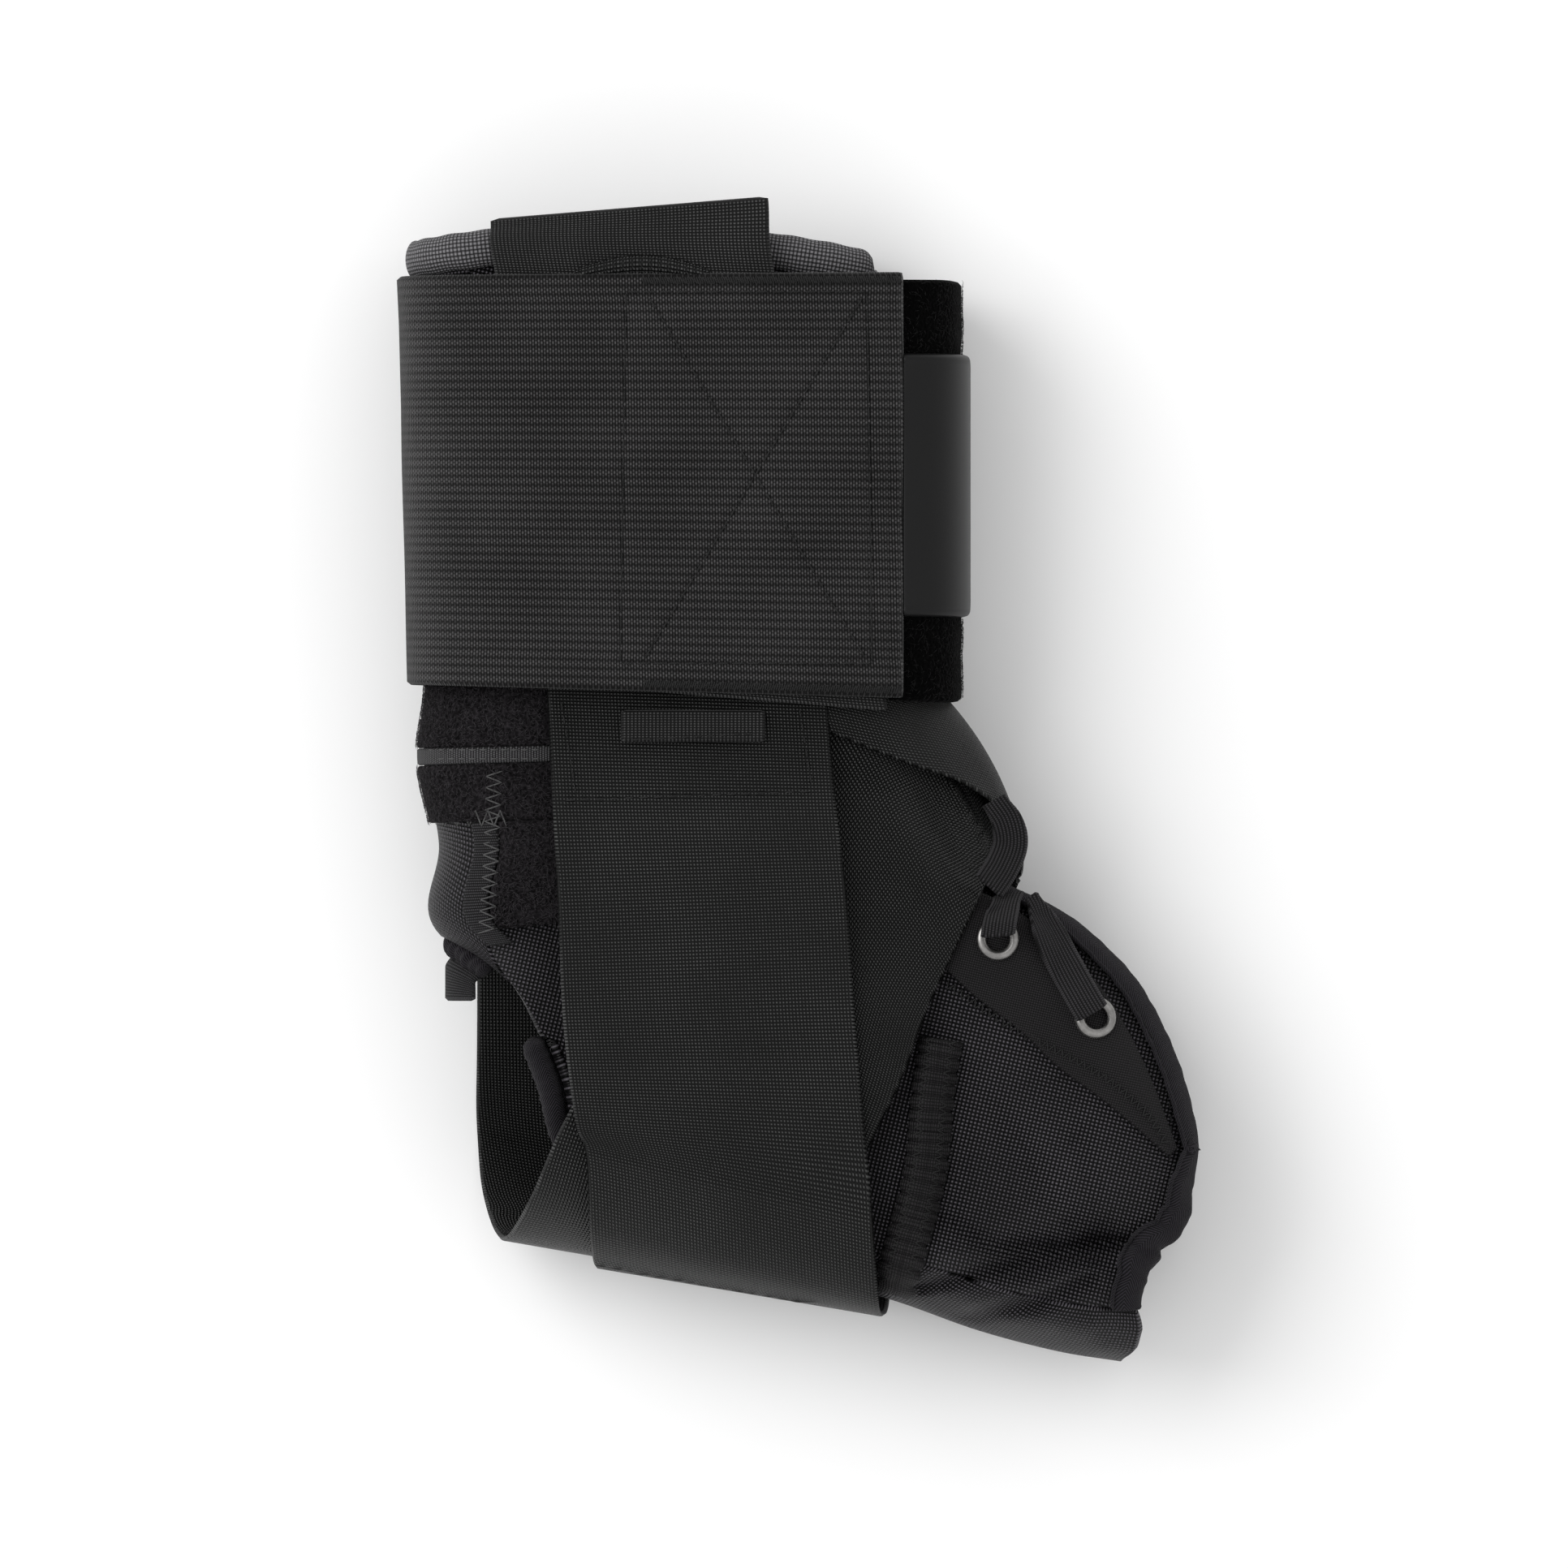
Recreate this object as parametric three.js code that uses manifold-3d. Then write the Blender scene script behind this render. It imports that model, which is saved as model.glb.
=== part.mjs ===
// Ankle brace lying on its side: a laced mesh bootie, two figure-of-eight straps and an elastic cuff.
// Millimetres. X runs from the heel side to the toe, Y up the leg, Z up from the surface it lies on.

import * as THREE from "three";
import { mergeVertices } from "three/addons/utils/BufferGeometryUtils.js";
import Module from "manifold-3d";

const wasm = await Module();
wasm.setup();

// Driving dimensions
const WIDTH = 148.5;              // heel side to toe
const HEIGHT = 215;               // sole to top rim
const DEPTH = 46;                 // thickness of the brace as it lies
const FABRIC = 2.0;               // padded mesh wall
const FACING = 0.9;               // eyelet facing cloth
const CLEAR = 0.4;                // gap between layers
const WEBBING_WIDTH = 51;
const WEBBING = 1.0;
const ELASTIC = 1.5;
const PILE = 1.3;
const TRIM = 0.8;                 // grosgrain and pile bands on the back
const BINDING_WIDTH = 4.6;
const BINDING = 0.8;
const PIPING_RADIUS = 2.2;
const RIM_THICKNESS = 3.4;
const LACE_WIDTH = 5.6;
const LACE = 0.9;
const EYELET_OUTER = 7.9;
const EYELET_HOLE = 4.2;
const EYELET_WALL = 0.45;
const EYELET_LIP = 0.75;
const EYELET_RELIEF = 2.1;        // room for the washer inside the curved wall
const CHANNEL_WIDTH = 6.4;
const CHANNEL_HEIGHT = 1.4;
const RUFFLE_DEPTH = 0.7;
const RUFFLE_PITCH = 5.2;
const FOLD_ROUND = 16;            // reach of the rounded fold at the back and the sole
const FRONT_ROUND = 15;           // reach of the droop along the front edge
const LABEL_HEIGHT = 48;
const LABEL_THICKNESS = 1.2;
const LABEL_CORNER = 4.5;
const LOOP_HEIGHT = 0.8;          // how far the folded webbing end swells

// Heights of the layers, stacked from the surface up to DEPTH
const LAYER = WEBBING + CLEAR;
const OUTER_LOW = WEBBING / 2;
const OUTER_HIGH = DEPTH - WEBBING / 2;
const INNER_LOW = OUTER_LOW + LAYER;
const INNER_HIGH = OUTER_HIGH - LAYER;
const BODY_LOW = INNER_LOW + WEBBING / 2 + FACING + 2.5 * CLEAR;
const BODY_HIGH = INNER_HIGH - WEBBING / 2 - FACING - 5.5 * CLEAR;
const BODY_SPAN = BODY_HIGH - BODY_LOW;

// Where the rounded back fold ends, as a share of the way from back to front
const FOLD_SHARE = 0.25;
const FOLD_POWER = 2.2;
const SEAM_SHARE = 0.2;
const OPEN_SEAM = 0.03;           // share of SEAM_SHARE left at the open heel
const CLOSING_SEAM = 0.1;         // and where the back and sole panels end
const RESTING_SHARE = 0.06;
const RESTING_PASSES = 2;
const SLOPED = 1.9;               // upright share of a layer's thickness where it slopes
const SEAT_PLAY = 1.6;            // play under a strap, in gaps between layers
const LACE_PLAY = 2.5;            // and under a lace
const SEAM_GAP = 0.008;           // gap between sewn panels, in the same share

const table = (columns, rows) =>
  rows.map((row) => Object.fromEntries(columns.map((name, i) => [name, row[i]])));

// Ribs of the bootie from the top rim down the leg and along the foot to the toe.
// Places are shares of WIDTH and HEIGHT, near, far and edge shares of the body's span,
// seam a share of SEAM_SHARE, lift opens the heel, bow a share of HEIGHT, facing a share of WIDTH.
const RIBS = table(
  ["backX", "backY", "frontX", "frontY", "near", "far", "edge", "seam", "lift", "bow", "facing"],
  [
    [-0.476, 0.448, 0.1, 0.437, 0.93, 0.1, 0.8, 1, 0, 0.02, 0.1],
    [-0.476, 0.352, 0.106, 0.352, 0.93, 0.1, 0.8, 1, 0, 0, 0.1],
    [-0.47, 0.226, 0.11, 0.226, 0.93, 0.1, 0.78, 1, 0, 0, 0.12],
    [-0.456, 0.094, 0.118, 0.101, 0.93, 0.09, 0.76, 1, 0, 0, 0.14],
    [-0.466, 0.021, 0.155, 0.031, 0.93, 0.05, 0.68, 1, 0, 0, 0.148],
    [-0.447, -0.053, 0.213, -0.04, 0.96, 0.01, 0.64, 1, 0, 0, 0.162],
    [-0.455, -0.122, 0.256, -0.085, 0.97, 0, 0.64, 1, 0, 0, 0.162],
    [-0.346, -0.184, 0.308, -0.102, 0.97, 0, 0.68, 0.2, 0.9, 0, 0.155],
    [-0.296, -0.249, 0.351, -0.118, 0.97, 0, 0.7, 0, 1, 0, 0.148],
    [-0.27, -0.314, 0.389, -0.14, 0.98, 0, 0.72, 0, 0.9, 0, 0.141],
    [-0.203, -0.362, 0.425, -0.166, 0.985, 0, 0.73, 0, 0.6, 0, 0.128],
    [-0.114, -0.4, 0.452, -0.197, 0.985, 0, 0.74, 0.3, 0.3, 0, 0.114],
    [-0.003, -0.424, 0.474, -0.231, 0.98, 0, 0.74, 1, 0, 0, 0.088],
    [0.113, -0.444, 0.487, -0.26, 0.98, 0, 0.74, 1, 0, 0, 0.067],
    [0.224, -0.471, 0.495, -0.287, 0.98, 0, 0.74, 1, 0, 0, 0.047],
    [0.325, -0.4895, 0.4963, -0.304, 0.97, 0, 0.74, 1, 0, 0, 0.034],
    [0.405, -0.4985, 0.492, -0.3145, 0.93, 0, 0.74, 1, 0, 0, 0.027],
  ],
);
const LAST_RIB = RIBS.length - 1;
const BACK_HEM_SEAM = 6.8;        // ribs where the back panel's hem meets the seams
const BACK_HEM_MIDDLE = 6.15;     // and where it crosses the back fold
const BACK_HEM_RIBS = 2.8;        // ribs over which the hem's slant fades out
const SOLE_PANEL_START = 12;
const FACING_START = 4.5;
const FACING_END = 14.2;
const BINDING_START = 4.5;
const HEEL_START = 7.5;
const HEEL_END = 10.9;

// The toe edge swings out and in: place along the edge from the sole to the front, and
// how far it stands past the last rib as a share of WIDTH.
const TOE_WAVE = table(
  ["place", "out"],
  [
    [0, -0.003],
    [0.07, 0.007],
    [0.14, 0.006],
    [0.3, -0.013],
    [0.42, -0.014],
    [0.52, -0.01],
    [0.63, 0.01],
    [0.72, 0.014],
    [0.85, 0.006],
    [1, 0],
  ],
);
const TOE_WAVE_RIBS = 2.5;

// Creases and puffs of the near quarter: ends as shares of WIDTH and HEIGHT,
// reach as a share of WIDTH, rise (puff) or fall (crease) as a share of DEPTH.
const FOLDS = table(
  ["fromX", "fromY", "toX", "toY", "reach", "rise"],
  [
    [0.15, -0.428, 0.27, -0.419, 0.03, -0.075],
    [0.27, -0.419, 0.371, -0.397, 0.028, -0.06],
    [0.371, -0.397, 0.42, -0.395, 0.024, -0.05],
    [0.19, -0.25, 0.165, -0.4, 0.026, -0.05],
    [0.36, -0.45, 0.42, -0.44, 0.024, -0.04],
    [0.2, -0.39, 0.36, -0.365, 0.035, 0.012],
    [-0.45, -0.07, -0.4, -0.13, 0.02, -0.03],
  ],
);

// Sections of the two straps, from their start at the cuff's lower edge, over the front,
// down the other side, under the sole and up to the cuff again. Places are shares of WIDTH
// and HEIGHT, turn the angle of the section in degrees, span its length in webbing widths,
// right and left the heights of its two ends between lowest and highest layer, bow its bulge.
const STRAP_COLUMNS = ["x", "y", "turn", "span", "right", "left", "bow"];
const SIDE_STRAP = table(STRAP_COLUMNS, [
  [0.01, 0.066, -72, 0.145, 0.895, 0.895, 0],
  [0.058, 0.06, -73, 0.203, 0.895, 0.895, 0],
  [0.112, 0.051, -65, 0.299, 0.88, 0.88, 0],
  [0.161, 0.043, -57, 0.404, 0.82, 0.84, 0],
  [0.198, 0.032, -56, 0.517, 0.7, 0.76, 0.024],
  [0.218, 0.021, -59, 0.598, 0.6, 0.64, 0.041],
  [0.225, 0.007, -63, 0.681, 0.5, 0.5, 0.047],
  [0.22, -0.007, -65, 0.741, 0.38, 0.35, 0.041],
  [0.199, -0.019, -65, 0.816, 0.25, 0.19, 0.024],
  [0.159, -0.04, -65, 0.974, 0.12, 0.07, 0],
  [0.103, -0.075, -61, 1.158, 0.03, 0, 0],
  [0.04, -0.157, -48, 1.114, 0, 0, 0],
  [-0.023, -0.255, -28, 1.066, 0, 0, 0],
  [-0.057, -0.339, -13, 1.036, 0, 0, 0],
  [-0.064, -0.419, -12, 1.044, 0.12, 0.12, 0],
  [-0.073, -0.436, -9.6, 1.038, 0.5, 0.5, 0],
  [-0.079, -0.414, -13, 1.05, 0.854, 0.854, 0],
  [-0.085, -0.345, -13, 1.044, 1, 1, 0],
  [-0.096, -0.297, -3.3, 1.028, 1, 1, 0],
  [-0.11, -0.205, 1, 1.033, 1, 1, 0],
  [-0.118, -0.105, 1.6, 1.024, 1, 1, 0],
  [-0.129, -0.013, -0.5, 1.003, 1, 1, 0],
  [-0.136, 0.062, -1.7, 0.997, 0.91, 0.91, 0],
  [-0.141, 0.122, 0, 0.991, 0.905, 0.905, 0],
]);
const CROSS_STRAP = table(STRAP_COLUMNS, [
  [0.01, 0.059, -59, 0.086, 0, 0, 0],
  [0.058, 0.051, -78, 0.141, 0, 0, 0],
  [0.118, 0.04, -62.5, 0.255, 0.06, 0.02, 0],
  [0.159, 0.035, -53, 0.345, 0.2, 0.12, 0],
  [0.182, 0.027, -52, 0.434, 0.34, 0.3, 0.018],
  [0.197, 0.021, -55, 0.49, 0.43, 0.41, 0.026],
  [0.202, 0.013, -58.5, 0.545, 0.52, 0.52, 0.029],
  [0.199, 0.006, -61, 0.594, 0.62, 0.62, 0.024],
  [0.186, -0.004, -63, 0.675, 0.71, 0.74, 0],
  [0.154, -0.018, -62, 0.813, 0.81, 0.83, 0],
  [0.104, -0.043, -59.5, 0.997, 0.91, 0.9, 0],
  [0.027, -0.113, -50, 1.091, 0.985, 0.95, 0],
  [-0.055, -0.241, -26, 0.992, 1, 1, 0],
  [-0.116, -0.326, -15, 1.045, 1, 1, 0],
  [-0.148, -0.389, -13, 1.097, 0.854, 0.854, 0],
  [-0.178, -0.414, -9.8, 1.107, 0.5, 0.5, 0],
  [-0.202, -0.384, -11.5, 1.11, 0.17, 0.17, 0],
  [-0.218, -0.328, -11, 1.064, 0, 0, 0],
  [-0.222, -0.231, -1.6, 1.024, 0, 0, 0],
  [-0.223, -0.081, 0, 1.015, 0, 0, 0],
  [-0.224, 0.059, 0, 1.006, 0.02, 0.03, 0],
  [-0.225, 0.094, 0, 1, 0.03, 0.05, 0],
  [-0.226, 0.136, 0, 0.994, 0.03, 0.05, 0],
]);

// Cuff: a flattened ring. Places are shares of WIDTH and HEIGHT.
const CUFF = {
  left: -0.5,
  right: 0.216,
  bottomLeft: 0.087,
  bottomRight: 0.074,
  topLeft: 0.432,
  topRight: 0.435,
};
const CUFF_POWER = 3;
const CUFF_FLAT = 0.35;           // flat share of the cuff's half width
const ELASTIC_NEAR_END = 0.128;
const ELASTIC_FAR_END = 0.09;
const PILE_NEAR_START = 0.115;
const PILE_FAR_END = 0.1;
const PILE_TOP = 0.985;           // upper and lower ends of the pile panel, as shares of the elastic's
const PILE_BOTTOM = 0.96;
const LABEL = { left: 0.131, right: 0.2128, middleY: 0.255 };

const LOOP_END = { left: -0.275, right: -0.111, rise: 0.012, gap: 0.004 };
const PATCH = { left: -0.216, right: -0.044, top: 0.06, bottom: 0.037 };
const PULL_TAB = { from: 0.08, to: 0.7, bottom: -0.185, rise: 1.5 };

// Hook strap that runs under the cuff: places as shares of WIDTH and HEIGHT.
const HOOK_STRAP = table(
  ["leftX", "leftY", "rightX", "rightY", "drop"],
  [
    [-0.378, 0.481, -0.04, 0.5, 1.6],
    [-0.374, 0.443, -0.032, 0.436, 0.4],
    [-0.33, 0.3, 0.02, 0.3, 0],
    [-0.25, 0.13, 0.09, 0.12, 0],
    [-0.23, 0.083, 0.108, 0.064, 0],
  ],
);

// Laces: centre line as shares of WIDTH and HEIGHT, height as a share of DEPTH, turn of the
// flat section in degrees. They pass under the bands and end there.
const LACE_COLUMNS = ["x", "y", "z", "turn"];
const LACES = {
  lace_instep: table(LACE_COLUMNS, [
    [0.243, -0.015, 0.76, 30],
    [0.259, -0.032, 0.75, 22],
    [0.264, -0.052, 0.76, -8],
    [0.254, -0.071, 0.81, -30],
    [0.238, -0.088, 0.87, -42],
  ]),
  lace_upper: table(LACE_COLUMNS, [
    [0.257, -0.104, 0.85, 10],
    [0.254, -0.109, 0.88, 8],
    [0.25, -0.121, 0.955, 5],
    [0.248, -0.13, 0.975, 5],
  ]),
  lace_lower: table(LACE_COLUMNS, [
    [0.291, -0.098, 0.79, 35],
    [0.302, -0.115, 0.8, 33],
    [0.325, -0.148, 0.88, 31],
    [0.352, -0.182, 0.96, 30],
    [0.364, -0.196, 0.975, 30],
  ]),
};

const EYELETS = table(["x", "y"], [
  [0.248, -0.134],
  [0.369, -0.201],
]);

// Gathered channel across the foot: centre line as shares of WIDTH and HEIGHT.
const CHANNEL = table(["x", "y"], [
  [0.178, -0.22],
  [0.168, -0.265],
  [0.161, -0.32],
  [0.152, -0.353],
  [0.138, -0.388],
  [0.125, -0.42],
  [0.118, -0.436],
]);

const COLOURS = {
  mesh: new THREE.Color(0.05, 0.05, 0.055),
  webbing: new THREE.Color(0.075, 0.078, 0.075),
  elastic: new THREE.Color(0.05, 0.05, 0.052),
  pile: new THREE.Color(0.02, 0.02, 0.022),
  binding: new THREE.Color(0.07, 0.067, 0.075),
  rubber: new THREE.Color(0.03, 0.03, 0.032),
  grey: new THREE.Color(0.3, 0.3, 0.31),
  nickel: new THREE.Color(0.75, 0.75, 0.76),
};

const brace = new THREE.Group();

function add(name, geometry, colour, roughness = 0.95, metalness = 0) {
  const material = new THREE.MeshStandardMaterial({ color: COLOURS[colour], roughness, metalness });
  const mesh = new THREE.Mesh(geometry, material);
  mesh.name = name;
  brace.add(mesh);
  return mesh;
}

// Small helpers
const mix = (a, b, s) => a + (b - a) * s;
const clamp = (value, low, high) => Math.min(Math.max(value, low), high);
const ease = (s) => {
  const c = clamp(s, 0, 1);
  return c * c * (3 - 2 * c);
};
const steps = (from, to, count) => Array.from({ length: count + 1 }, (_, i) => mix(from, to, i / count));

// A smooth value between the rows of a table, for every column at once
function rowAt(rows, place) {
  const last = rows.length - 1;
  const index = Math.min(Math.floor(clamp(place, 0, last)), last - 1);
  const s = clamp(place, 0, last) - index;
  const row = {};
  for (const key of Object.keys(rows[0])) {
    const b = rows[index][key];
    const c = rows[index + 1][key];
    const a = index > 0 ? rows[index - 1][key] : 2 * b - c;
    const d = index < last - 1 ? rows[index + 2][key] : 2 * c - b;
    const slope = (c - a) * s;
    const bend = (2 * a - 5 * b + 4 * c - d) * s * s;
    const twist = (3 * b - a - 3 * c + d) * s * s * s;
    row[key] = b + 0.5 * (slope + bend + twist);
  }
  return row;
}

// Piecewise value of a table by one of its columns
function valueAt(rows, key, column, at) {
  const last = rows.length - 1;
  if (at <= rows[0][key]) return rows[0][column];
  for (let i = 0; i < last; i += 1) {
    if (at <= rows[i + 1][key]) {
      const s = ease((at - rows[i][key]) / (rows[i + 1][key] - rows[i][key]));
      return mix(rows[i][column], rows[i + 1][column], s);
    }
  }
  return rows[last][column];
}

// The bootie's outer surface. rib runs from the top rim (0) to the toe (LAST_RIB), and around
// runs from the far front edge (-1) over the back fold (0) to the near front edge (1).
function bodyPoint(rib, around) {
  const row = rowAt(RIBS, rib);
  const side = Math.sign(around) || 1;
  const share = Math.abs(around);
  const back = new THREE.Vector2(row.backX * WIDTH, row.backY * HEIGHT);
  const front = new THREE.Vector2(row.frontX * WIDTH, row.frontY * HEIGHT);
  const chord = front.clone().sub(back);
  const length = chord.length();
  const along = chord.clone().divideScalar(length);
  const across = new THREE.Vector2(-along.y, along.x);
  let reach;
  let round = 1;
  if (share <= FOLD_SHARE) {
    const angle = (share / FOLD_SHARE) * (Math.PI / 2);
    reach = FOLD_ROUND * (1 - Math.cos(angle) ** (2 / FOLD_POWER));
    round = Math.sin(angle) ** (2 / FOLD_POWER);
  } else {
    reach = mix(FOLD_ROUND, length, (share - FOLD_SHARE) / (1 - FOLD_SHARE));
  }
  const lift = clamp(row.lift, 0, 1);
  round = mix(round, 1, lift);
  const bow = row.bow * HEIGHT * 4 * (reach / length) * (1 - reach / length);
  const place = back.addScaledVector(along, reach).addScaledVector(across, bow);
  const toeward = clamp((rib - (LAST_RIB - TOE_WAVE_RIBS)) / TOE_WAVE_RIBS, 0, 1);
  const wave = valueAt(TOE_WAVE, "place", "out", reach / length) * WIDTH * toeward * toeward;
  place.addScaledVector(across, -wave);
  const middle = (row.near + row.far) / 2;
  const half = (row.near - row.far) / 2;
  const droop = (row.near - row.edge) * Math.max(0, 1 - (length - reach) / FRONT_ROUND) ** 2;
  const height = middle + side * (half * round - droop);
  return new THREE.Vector3(place.x, place.y, BODY_LOW + height * BODY_SPAN);
}

// Creases lower the near quarter and puffs raise it, fading away from their lines
function foldRise(x, y) {
  let rise = 0;
  for (const fold of FOLDS) {
    const from = new THREE.Vector2(fold.fromX * WIDTH, fold.fromY * HEIGHT);
    const to = new THREE.Vector2(fold.toX * WIDTH, fold.toY * HEIGHT);
    const line = to.clone().sub(from);
    const point = new THREE.Vector2(x, y).sub(from);
    const s = clamp(point.dot(line) / line.lengthSq(), 0, 1);
    const distance = point.distanceTo(line.multiplyScalar(s)) / (fold.reach * WIDTH);
    rise += fold.rise * DEPTH * Math.exp(-distance * distance);
  }
  return rise;
}

function foldedPoint(rib, around) {
  const point = bodyPoint(rib, around);
  const share = Math.abs(around);
  const fade = ease((share - SEAM_SHARE) / (FOLD_SHARE - SEAM_SHARE + 0.1));
  if (around > 0) point.z += foldRise(point.x, point.y) * fade;
  return point;
}

// Outward normal of the body, from small steps round it and along it
function bodyNormal(rib, around) {
  const step = 0.01;
  const low = clamp(around - step, -1, 1);
  const high = clamp(around + step, -1, 1);
  const before = clamp(rib - 0.1, 0, LAST_RIB);
  const after = clamp(rib + 0.1, 0, LAST_RIB);
  const acrossTangent = foldedPoint(rib, high).sub(foldedPoint(rib, low));
  const alongTangent = foldedPoint(after, around).sub(foldedPoint(before, around));
  return alongTangent.cross(acrossTangent).normalize();
}

function liftedPoint(rib, around, lift) {
  return foldedPoint(rib, around).addScaledVector(bodyNormal(rib, around), lift);
}

// Outward normal at each point of a grid, from its neighbours
function gridNormals(grid) {
  const rows = grid.length;
  const columns = grid[0].length;
  return grid.map((row, i) => row.map((_, j) => {
    const down = grid[Math.min(i + 1, rows - 1)][j].clone().sub(grid[Math.max(i - 1, 0)][j]);
    const right = row[Math.min(j + 1, columns - 1)].clone().sub(row[Math.max(j - 1, 0)]);
    return down.cross(right).normalize();
  }));
}

function closedGeometry(positions, triangles) {
  let volume = 0;
  const a = new THREE.Vector3();
  const b = new THREE.Vector3();
  const c = new THREE.Vector3();
  for (let i = 0; i < triangles.length; i += 3) {
    a.fromArray(positions, 3 * triangles[i]);
    b.fromArray(positions, 3 * triangles[i + 1]);
    c.fromArray(positions, 3 * triangles[i + 2]);
    volume += a.dot(b.cross(c)) / 6;
  }
  const order = volume < 0 ? triangles.slice().reverse() : triangles;
  const geometry = new THREE.BufferGeometry();
  geometry.setAttribute("position", new THREE.Float32BufferAttribute(positions, 3));
  geometry.setIndex(order);
  return geometry;
}

// A closed wall from a grid of points: its faces lie from low to high along the normals
function wall(grid, low, high, normals = gridNormals(grid)) {
  const rows = grid.length;
  const columns = grid[0].length;
  const positions = [];
  for (const offset of [low, high]) {
    grid.forEach((row, i) => row.forEach((point, j) => {
      positions.push(...point.clone().addScaledVector(normals[i][j], offset).toArray());
    }));
  }
  const at = (layer, i, j) => layer * rows * columns + i * columns + j;
  const triangles = [];
  const quad = (a, b, c, d) => triangles.push(a, b, c, a, c, d);
  for (let i = 0; i < rows - 1; i += 1) {
    for (let j = 0; j < columns - 1; j += 1) {
      quad(at(1, i, j), at(1, i, j + 1), at(1, i + 1, j + 1), at(1, i + 1, j));
      quad(at(0, i, j), at(0, i + 1, j), at(0, i + 1, j + 1), at(0, i, j + 1));
    }
  }
  for (let j = 0; j < columns - 1; j += 1) {
    quad(at(0, 0, j), at(0, 0, j + 1), at(1, 0, j + 1), at(1, 0, j));
    quad(at(0, rows - 1, j + 1), at(0, rows - 1, j), at(1, rows - 1, j), at(1, rows - 1, j + 1));
  }
  for (let i = 0; i < rows - 1; i += 1) {
    quad(at(0, i + 1, 0), at(0, i, 0), at(1, i, 0), at(1, i + 1, 0));
    quad(at(0, i, columns - 1), at(0, i + 1, columns - 1), at(1, i + 1, columns - 1), at(1, i, columns - 1));
  }
  return closedGeometry(positions, triangles);
}

// A solid swept through rings of points, closed by flat caps
function sweep(rings) {
  const count = rings[0].length;
  const positions = rings.flat().flatMap((point) => point.toArray());
  const triangles = [];
  for (let i = 0; i < rings.length - 1; i += 1) {
    for (let j = 0; j < count; j += 1) {
      const k = (j + 1) % count;
      const a = i * count + j;
      const b = i * count + k;
      triangles.push(a, b, b + count, a, b + count, a + count);
    }
  }
  const last = (rings.length - 1) * count;
  for (const [a, b, c] of capTriangles(rings[0])) {
    triangles.push(c, b, a);
    triangles.push(last + a, last + b, last + c);
  }
  return closedGeometry(positions, triangles);
}

function capTriangles(ring) {
  const centre = ring.reduce((sum, point) => sum.add(point), new THREE.Vector3()).divideScalar(ring.length);
  const normal = new THREE.Vector3();
  ring.forEach((point, i) => {
    const next = ring[(i + 1) % ring.length];
    normal.add(point.clone().sub(centre).cross(next.clone().sub(centre)));
  });
  normal.normalize();
  const right = ring[0].clone().sub(centre).normalize();
  const up = normal.clone().cross(right);
  const flat = ring.map((point) => {
    const arm = point.clone().sub(centre);
    return new THREE.Vector2(arm.dot(right), arm.dot(up));
  });
  return THREE.ShapeUtils.triangulateShape(flat, []);
}

// Height of a grid's surface at x, y, the highest (side 1) or lowest (side -1), or null beside it
function heightOn(grid, x, y, side = 1) {
  let best = null;
  const test = (a, b, c) => {
    const det = (b.x - a.x) * (c.y - a.y) - (c.x - a.x) * (b.y - a.y);
    if (Math.abs(det) < 1e-9) return;
    const s = ((x - a.x) * (c.y - a.y) - (c.x - a.x) * (y - a.y)) / det;
    const t = ((b.x - a.x) * (y - a.y) - (x - a.x) * (b.y - a.y)) / det;
    if (s < -0.02 || t < -0.02 || s + t > 1.02) return;
    const z = a.z + s * (b.z - a.z) + t * (c.z - a.z);
    if (best === null || side * z > side * best) best = z;
  };
  for (let i = 0; i < grid.length - 1; i += 1) {
    for (let j = 0; j < grid[0].length - 1; j += 1) {
      test(grid[i][j], grid[i][j + 1], grid[i + 1][j + 1]);
      test(grid[i][j], grid[i + 1][j + 1], grid[i + 1][j]);
    }
  }
  return best;
}

// The binding takes up a little of the front edge
function edgeInset(rib) {
  return (BINDING + CLEAR) * ease((rib - BINDING_START + 1) * 2) / (1 - FOLD_SHARE);
}

function chordLength(rib) {
  const row = rowAt(RIBS, rib);
  return Math.hypot((row.frontX - row.backX) * WIDTH, (row.frontY - row.backY) * HEIGHT);
}

// Bootie panels: places on the body as pairs of rib and share round it
function quarterPlaces(side, ribs, wide, narrow) {
  return ribs.map((rib) => {
    const start = SEAM_SHARE * clamp(rowAt(RIBS, rib).seam, OPEN_SEAM, 1);
    const length = chordLength(rib);
    const end = 1 - edgeInset(rib) / length;
    const droopStart = 1 - FRONT_ROUND / length;
    const shares = [...steps(start, droopStart, wide), ...steps(droopStart, end, narrow).slice(1)];
    return shares.map((share) => [rib, side * share]);
  });
}

function foldPlace(rib, share) {
  const seam = SEAM_SHARE * clamp(rowAt(RIBS, rib).seam, CLOSING_SEAM, 1) - SEAM_GAP;
  return [rib, share * seam];
}
const foldPlaces = (ribs, across, slant) =>
  ribs.map((rib) => steps(-1, 1, across).map((share) => foldPlace(rib - slant(rib, share), share)));
const hemSlant = (rib, share) =>
  (BACK_HEM_SEAM - BACK_HEM_MIDDLE) * (1 - share * share) * ease(1 - (BACK_HEM_SEAM - rib) / BACK_HEM_RIBS);
const toGrid = (places) => places.map((row) => row.map(([rib, around]) => foldedPoint(rib, around)));
const toNormals = (places) => places.map((row) => row.map(([rib, around]) => bodyNormal(rib, around)));
const panel = (places) => wall(toGrid(places), -FABRIC, 0, toNormals(places));

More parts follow.
